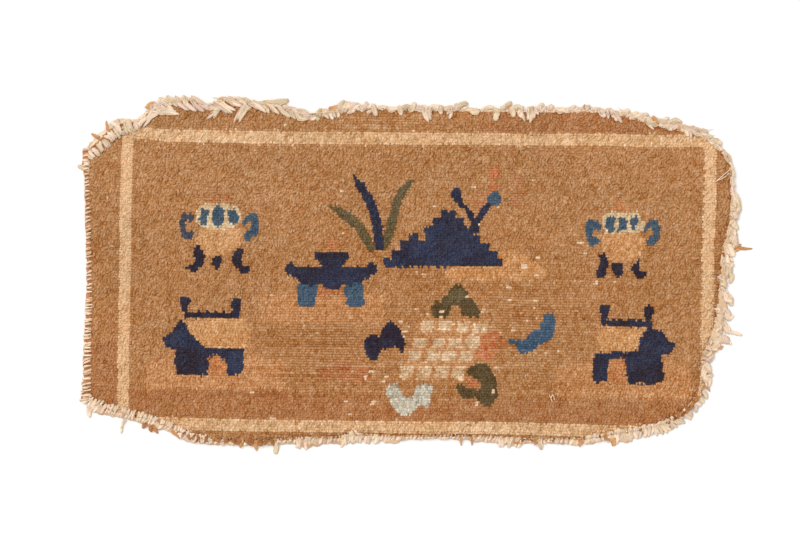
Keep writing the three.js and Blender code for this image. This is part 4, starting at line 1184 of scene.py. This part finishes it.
def leaf_locks(heap, rows, draw, dye, soil, thickness=0.7, per_width=1.9, apart=0.5, swell=BODY_SWELL):
    """Matted locks from root to tip: a flat body that swells, with a round end and strands on it."""
    steps = len(swell)
    t = np.linspace(0, 1, steps)
    angle = np.arange(BODY_SIDES) * 2 * math.pi / BODY_SIDES + math.pi / BODY_SIDES
    # Painted shade: red-brown on the sides and underside of each lock's body.
    painted_side_shade = 0.4 * (1 - np.clip(np.sin(angle), 0, 1))[None, :, None]
    for x0, y0, x1, y1, width in rows:
        root, tip = plan_to_mm((x0, y0)), plan_to_mm((x1, y1))
        run = tip - root
        length = float(np.hypot(*run))
        ahead = run / length
        across = np.array([-ahead[1], ahead[0]])
        strands = max(3, int(width * per_width))
        place = np.concatenate([[0.0], draw.uniform(-0.46, 0.46, strands)])
        reach = np.concatenate([[1.0], draw.uniform(0.6, 1.0, strands)])
        start = np.concatenate([[0.0], draw.uniform(-0.05, 0.2, strands)])
        bend = draw.normal() * 0.12 * length * np.sin(draw.uniform(2.2, 4.5) * t)
        shape = swell * (1 + 0.1 * draw.normal(size=steps))
        forward = start[:, None] + (reach - start)[:, None] * t
        aside = place[:, None] * width * shape * 0.95 + bend
        aside[1:] += draw.normal(size=(strands, 1)) * 0.3 * np.sin(draw.uniform(2, 6, (strands, 1)) * t)
        aside[1:] += draw.normal(size=(strands, 1)) * 0.3 * t**2
        flat = root + forward[..., None] * length * ahead + aside[..., None] * across
        rise = surface_height(flat) + draw.uniform(0, apart)
        rise = np.maximum(np.maximum(rise, rise[:1] * 0.9) + thickness * 0.55, thickness)
        dome = np.sqrt(np.clip(1 - (2 * place) ** 2, 0, 1))[:, None] * thickness * 0.9
        rise[1:] += dome[1:] * np.clip(1.4 - t, 0.3, 1) + draw.uniform(-0.25, 0.12, (strands, 1))
        paths = np.concatenate([flat, rise[..., None]], -1)
        wide, thick = (width * 0.5 * shape)[None], thickness * BODY_THICKNESS[None]
        verts, faces = tubes(paths[:1], wide, thick, BODY_SIDES)
        own_dye = dye * (1 + draw.normal() * YARN_CAST)
        # Painted shade: the body is a little darker than the strands on it.
        tint = yarn_tint(1, steps, BODY_SIDES, draw, soil, own_dye, 0.95).reshape(steps, BODY_SIDES, 3)
        tint = tint * (1 - painted_side_shade) + RED_FELT_AND_SHADE * painted_side_shade
        heap.add(verts, faces, tint.reshape(-1, 3))
        wide = draw.uniform(0.3, 0.55, (strands, 1)) * (1 - 0.4 * t**2)
        verts, faces = tubes(paths[1:], wide, wide * 0.85, 3)
        heap.add(verts, faces, yarn_tint(strands, steps, 3, draw, soil, own_dye))


def edge_rows(side, draw, first, last, pitch, inner, share, slant, width, uneven):
    """Rows for leaf_locks: short stitches over the edge of a side, slanted along it."""
    stations = spread(side, pitch, draw, first, last)
    count = len(stations)
    inner = inner * draw.uniform(1 - uneven, 1 + uneven, count)
    outer = side.reach_at(stations) * share * draw.uniform(1 - 1.2 * uneven, 1 + 0.4 * uneven, count)
    tilt = slant * draw.uniform(1 - 2 * uneven, 1 + 2 * uneven, count)
    root = mm_to_plan(side.spot(stations, -inner, tilt / 2, 0)[:, :2])
    tip = mm_to_plan(side.spot(stations, outer, -tilt / 2, 0)[:, :2])
    return np.column_stack([root, tip, width * draw.uniform(0.75, 1.2, count)])


def stitches(heap, side, draw, first, last, pitch, slant, inner, radius, share, soil):
    """Whip stitches: three plies of yarn that come up beside the edge and go round it."""
    stations = spread(side, pitch, draw, first, last)
    n, steps = len(stations), len(STITCH_OUT)
    reach = side.reach_at(stations) * share * draw.uniform(0.9, 1.08, n)
    inward = inner * draw.uniform(0.5, 1.6, n)
    out = STITCH_OUT * np.where(STITCH_OUT < 0, inward[:, None], reach[:, None])
    t = np.linspace(-0.5, 0.5, steps)
    slant = slant * draw.uniform(0.4, 1.5, (n, 1))
    stations = stations + draw.normal(size=n) * 0.6
    for ply in range(3):
        twist = ply * 2 * math.pi / 3 + t * 7 + draw.uniform(0, 1, n)[:, None]
        along = slant * t + draw.normal(size=n)[:, None] * 0.3 + np.cos(twist) * radius * 0.5
        rise = STITCH_RISE + np.sin(twist) * radius * 0.45 + draw.normal(size=n)[:, None] * 0.15
        paths = side.spot(stations[:, None], out, along, np.maximum(rise, 0.3))
        size = np.full((n, steps), radius * 0.62) * STITCH_SWELL
        verts, faces = tubes(paths, size, size * 0.9, 5)
        heap.add(verts, faces, yarn_tint(n, steps, 5, draw, soil, COTTON))


def loose_ends(heap, rows, radius, dye):
    """Single fibres through places in plan millimetres, lying on what is under them."""
    for places in rows:
        line = even_steps(spline(plan_to_mm(places)), 0.6)
        rise = surface_height(line) + radius + 0.35
        path = np.column_stack([line, rise])[None]
        size = np.full((1, len(line)), radius)
        verts, faces = tubes(path, size, size, 5)
        heap.add(verts, faces, np.broadcast_to(dye, (len(verts), 3)))


draw = np.random.default_rng(301)

# The far side: a felted band, and flat locks on it that fold in over the pile.
far_heap = Heap()
felt_band(far_heap, far_side, 0.72, 3.6, 101, soil=0.2)
locks(far_heap, far_side, draw, pitch=4.4, share=0.85, widths=(4.5, 7.5), lean=30, heights=(2.6, 4.6),
      strands=5, soil=0.4)
far_rows = parted(FAR_LOCKS, draw, 5.5, 7.5)
leaf_locks(far_heap, far_rows, draw, COTTON * 0.955, 0.35, thickness=0.55, per_width=2.5)

# Stitches along the near side, a hem, short oversewn ends, frayed ones and those of the corner: (first
# place, last place, pitch, how far in they start, share of the cotton's reach, slant, width, unevenness).
HEM_END, FRAYED_START, CORNER_START = (near_side.station(x) for x in (-206, 178, 262))
NEAR_STITCHES = [
    (0, HEM_END, 3.4, 5.0, 0.85, 2.4, 3.4, 0.2),
    (HEM_END, FRAYED_START, 3.6, 0.4, 0.85, 2.2, 3.5, 0.3),
    (FRAYED_START, CORNER_START, 3.6, 1.8, 0.9, -1.2, 4.4, 0.35),
    (CORNER_START, near_side.length, 3.4, -0.8, 0.95, -1.2, 4.6, 0.3),
]
near_heap = Heap()
felt_band(near_heap, near_side, 0.95, 3.4, 111, soil=0.35, stain_and_shade_dye=RED_FELT_AND_SHADE)
locks(near_heap, near_side, draw, pitch=3.1, share=0.85, widths=(1.6, 3), lean=14, heights=(2.6, 4.4),
      strands=4, soil=0.6, curl=0.5)
hem, oversewn, frayed, corner = (edge_rows(near_side, draw, *row) for row in NEAR_STITCHES)
leaf_locks(near_heap, hem, draw, COTTON, 0.3, apart=0.3)
leaf_locks(near_heap, oversewn, draw, COTTON, 0.6, thickness=0.6, per_width=0.9, apart=0.2)
leaf_locks(near_heap, np.vstack([frayed, corner]), draw, COTTON, 0.4)
leaf_locks(near_heap, parted(moved(NEAR_LOCKS, 0, 1.5), draw), draw, COTTON, 0.4)

# The right side: wide, puckered cotton.
right_heap = Heap()
felt_band(right_heap, right_side, 0.6, 4.0, 121, soil=0.35)
locks(right_heap, right_side, draw, pitch=4.6, share=0.7, widths=(5, 8.5), lean=20, heights=(3, 5),
      strands=4, soil=0.25, steps=7, curl=1.3)
right_rows = moved(RIGHT_LOCKS, 0.5, 0, 0.95)
leaf_locks(right_heap, right_rows, draw, COTTON, 0.3, thickness=1.0, per_width=1.4, apart=0.8)
tangle = tangled(RIGHT_LOCKS, draw)
leaf_locks(right_heap, tangle, draw, COTTON, 0.3, thickness=0.9, per_width=1.4, apart=1.8)

leaf_locks(near_heap, FELTED_WOOL, draw, dyed("umber"), 0.2, thickness=0.8, per_width=1.2, apart=1.5)

# The left side: a whip-stitched selvedge.
left_heap = Heap()
felt_band(left_heap, left_side, 0.97, 2.9, 131, soil=0.9, stain_and_shade_dye=RED_FELT_AND_SHADE)
for row in LEFT_STITCHES:
    stitches(left_heap, left_side, draw, *row)

wisp_heap = Heap()
leaf_locks(wisp_heap, WOOL_WISPS, draw, dyed("tan"), 0.4, per_width=1.0, swell=POINTED)
loose_ends(wisp_heap, COTTON_FIBRES, 0.36, COTTON)
loose_ends(wisp_heap, WOOL_FIBRES, 0.3, dyed("straw"))

far_fringe = far_heap.piece("fringe_far_yarn", "cotton")
near_fringe = near_heap.piece("fringe_near_yarn", "cotton")
right_fringe = right_heap.piece("fringe_right_yarn", "cotton")
left_fringe = left_heap.piece("overcast_left_yarn", "cotton")
wisps = wisp_heap.piece("wool_wisps", "camel_wool")

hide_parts("rug_cloth")
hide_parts("fringe_far")
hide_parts("fringe_near")
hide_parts("fringe_right")
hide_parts("overcast_left")


# The outline's x and y

x, y = outline.T


# Floor, light and camera, in metres

FLOOR_HALF = 6.0
FLOOR_LEVEL = -0.0002
LAMP_TOWARDS = Vector((0.62, -0.55, -1.0))
CAMERA_DISTANCE = 2.4
CAMERA_SHARP_AT = 0.005
PICTURE_WIDTH = 0.8
SENSOR_WIDTH = 36


def floor_material():
    """A plain, pale and matt floor."""
    material = bpy.data.materials.new("studio_floor")
    material.use_nodes = True
    shader = material.node_tree.nodes["Principled BSDF"]
    shader.inputs["Base Color"].default_value = (0.92, 0.92, 0.915, 1)
    shader.inputs["Roughness"].default_value = 0.9
    return material


floor_mesh = bpy.data.meshes.new("studio_floor")
floor_corners = [
    (x * FLOOR_HALF, y * FLOOR_HALF, FLOOR_LEVEL) for x, y in ((-1, -1), (1, -1), (1, 1), (-1, 1))
]
floor_mesh.from_pydata(floor_corners, [], [(0, 1, 2, 3)])
floor_mesh.materials.append(floor_material())
floor = bpy.data.objects.new("studio_floor", floor_mesh)
bpy.context.scene.collection.objects.link(floor)

world = bpy.data.worlds.new("studio")
world.use_nodes = True
background = world.node_tree.nodes["Background"]
background.inputs["Color"].default_value = (1.0, 0.99, 0.975, 1)
background.inputs["Strength"].default_value = 0.85
bpy.context.scene.world = world

lamp_data = bpy.data.lights.new("soft_window", "SUN")
lamp_data.energy = 1.5
lamp_data.angle = math.radians(38)
lamp = bpy.data.objects.new("soft_window", lamp_data)
lamp.rotation_euler = LAMP_TOWARDS.to_track_quat("-Z", "Y").to_euler()
bpy.context.scene.collection.objects.link(lamp)

camera_data = bpy.data.cameras.new("camera")
camera_data.sensor_width = SENSOR_WIDTH
camera_data.lens = SENSOR_WIDTH * CAMERA_DISTANCE / PICTURE_WIDTH
camera = bpy.data.objects.new("camera", camera_data)
middle = plan_to_mm(PICTURE_MIDDLE) * MM
camera.location = (middle[0], middle[1], CAMERA_DISTANCE + CAMERA_SHARP_AT)
bpy.context.scene.collection.objects.link(camera)
bpy.context.scene.camera = camera
bpy.context.scene.view_settings.view_transform = "Standard"
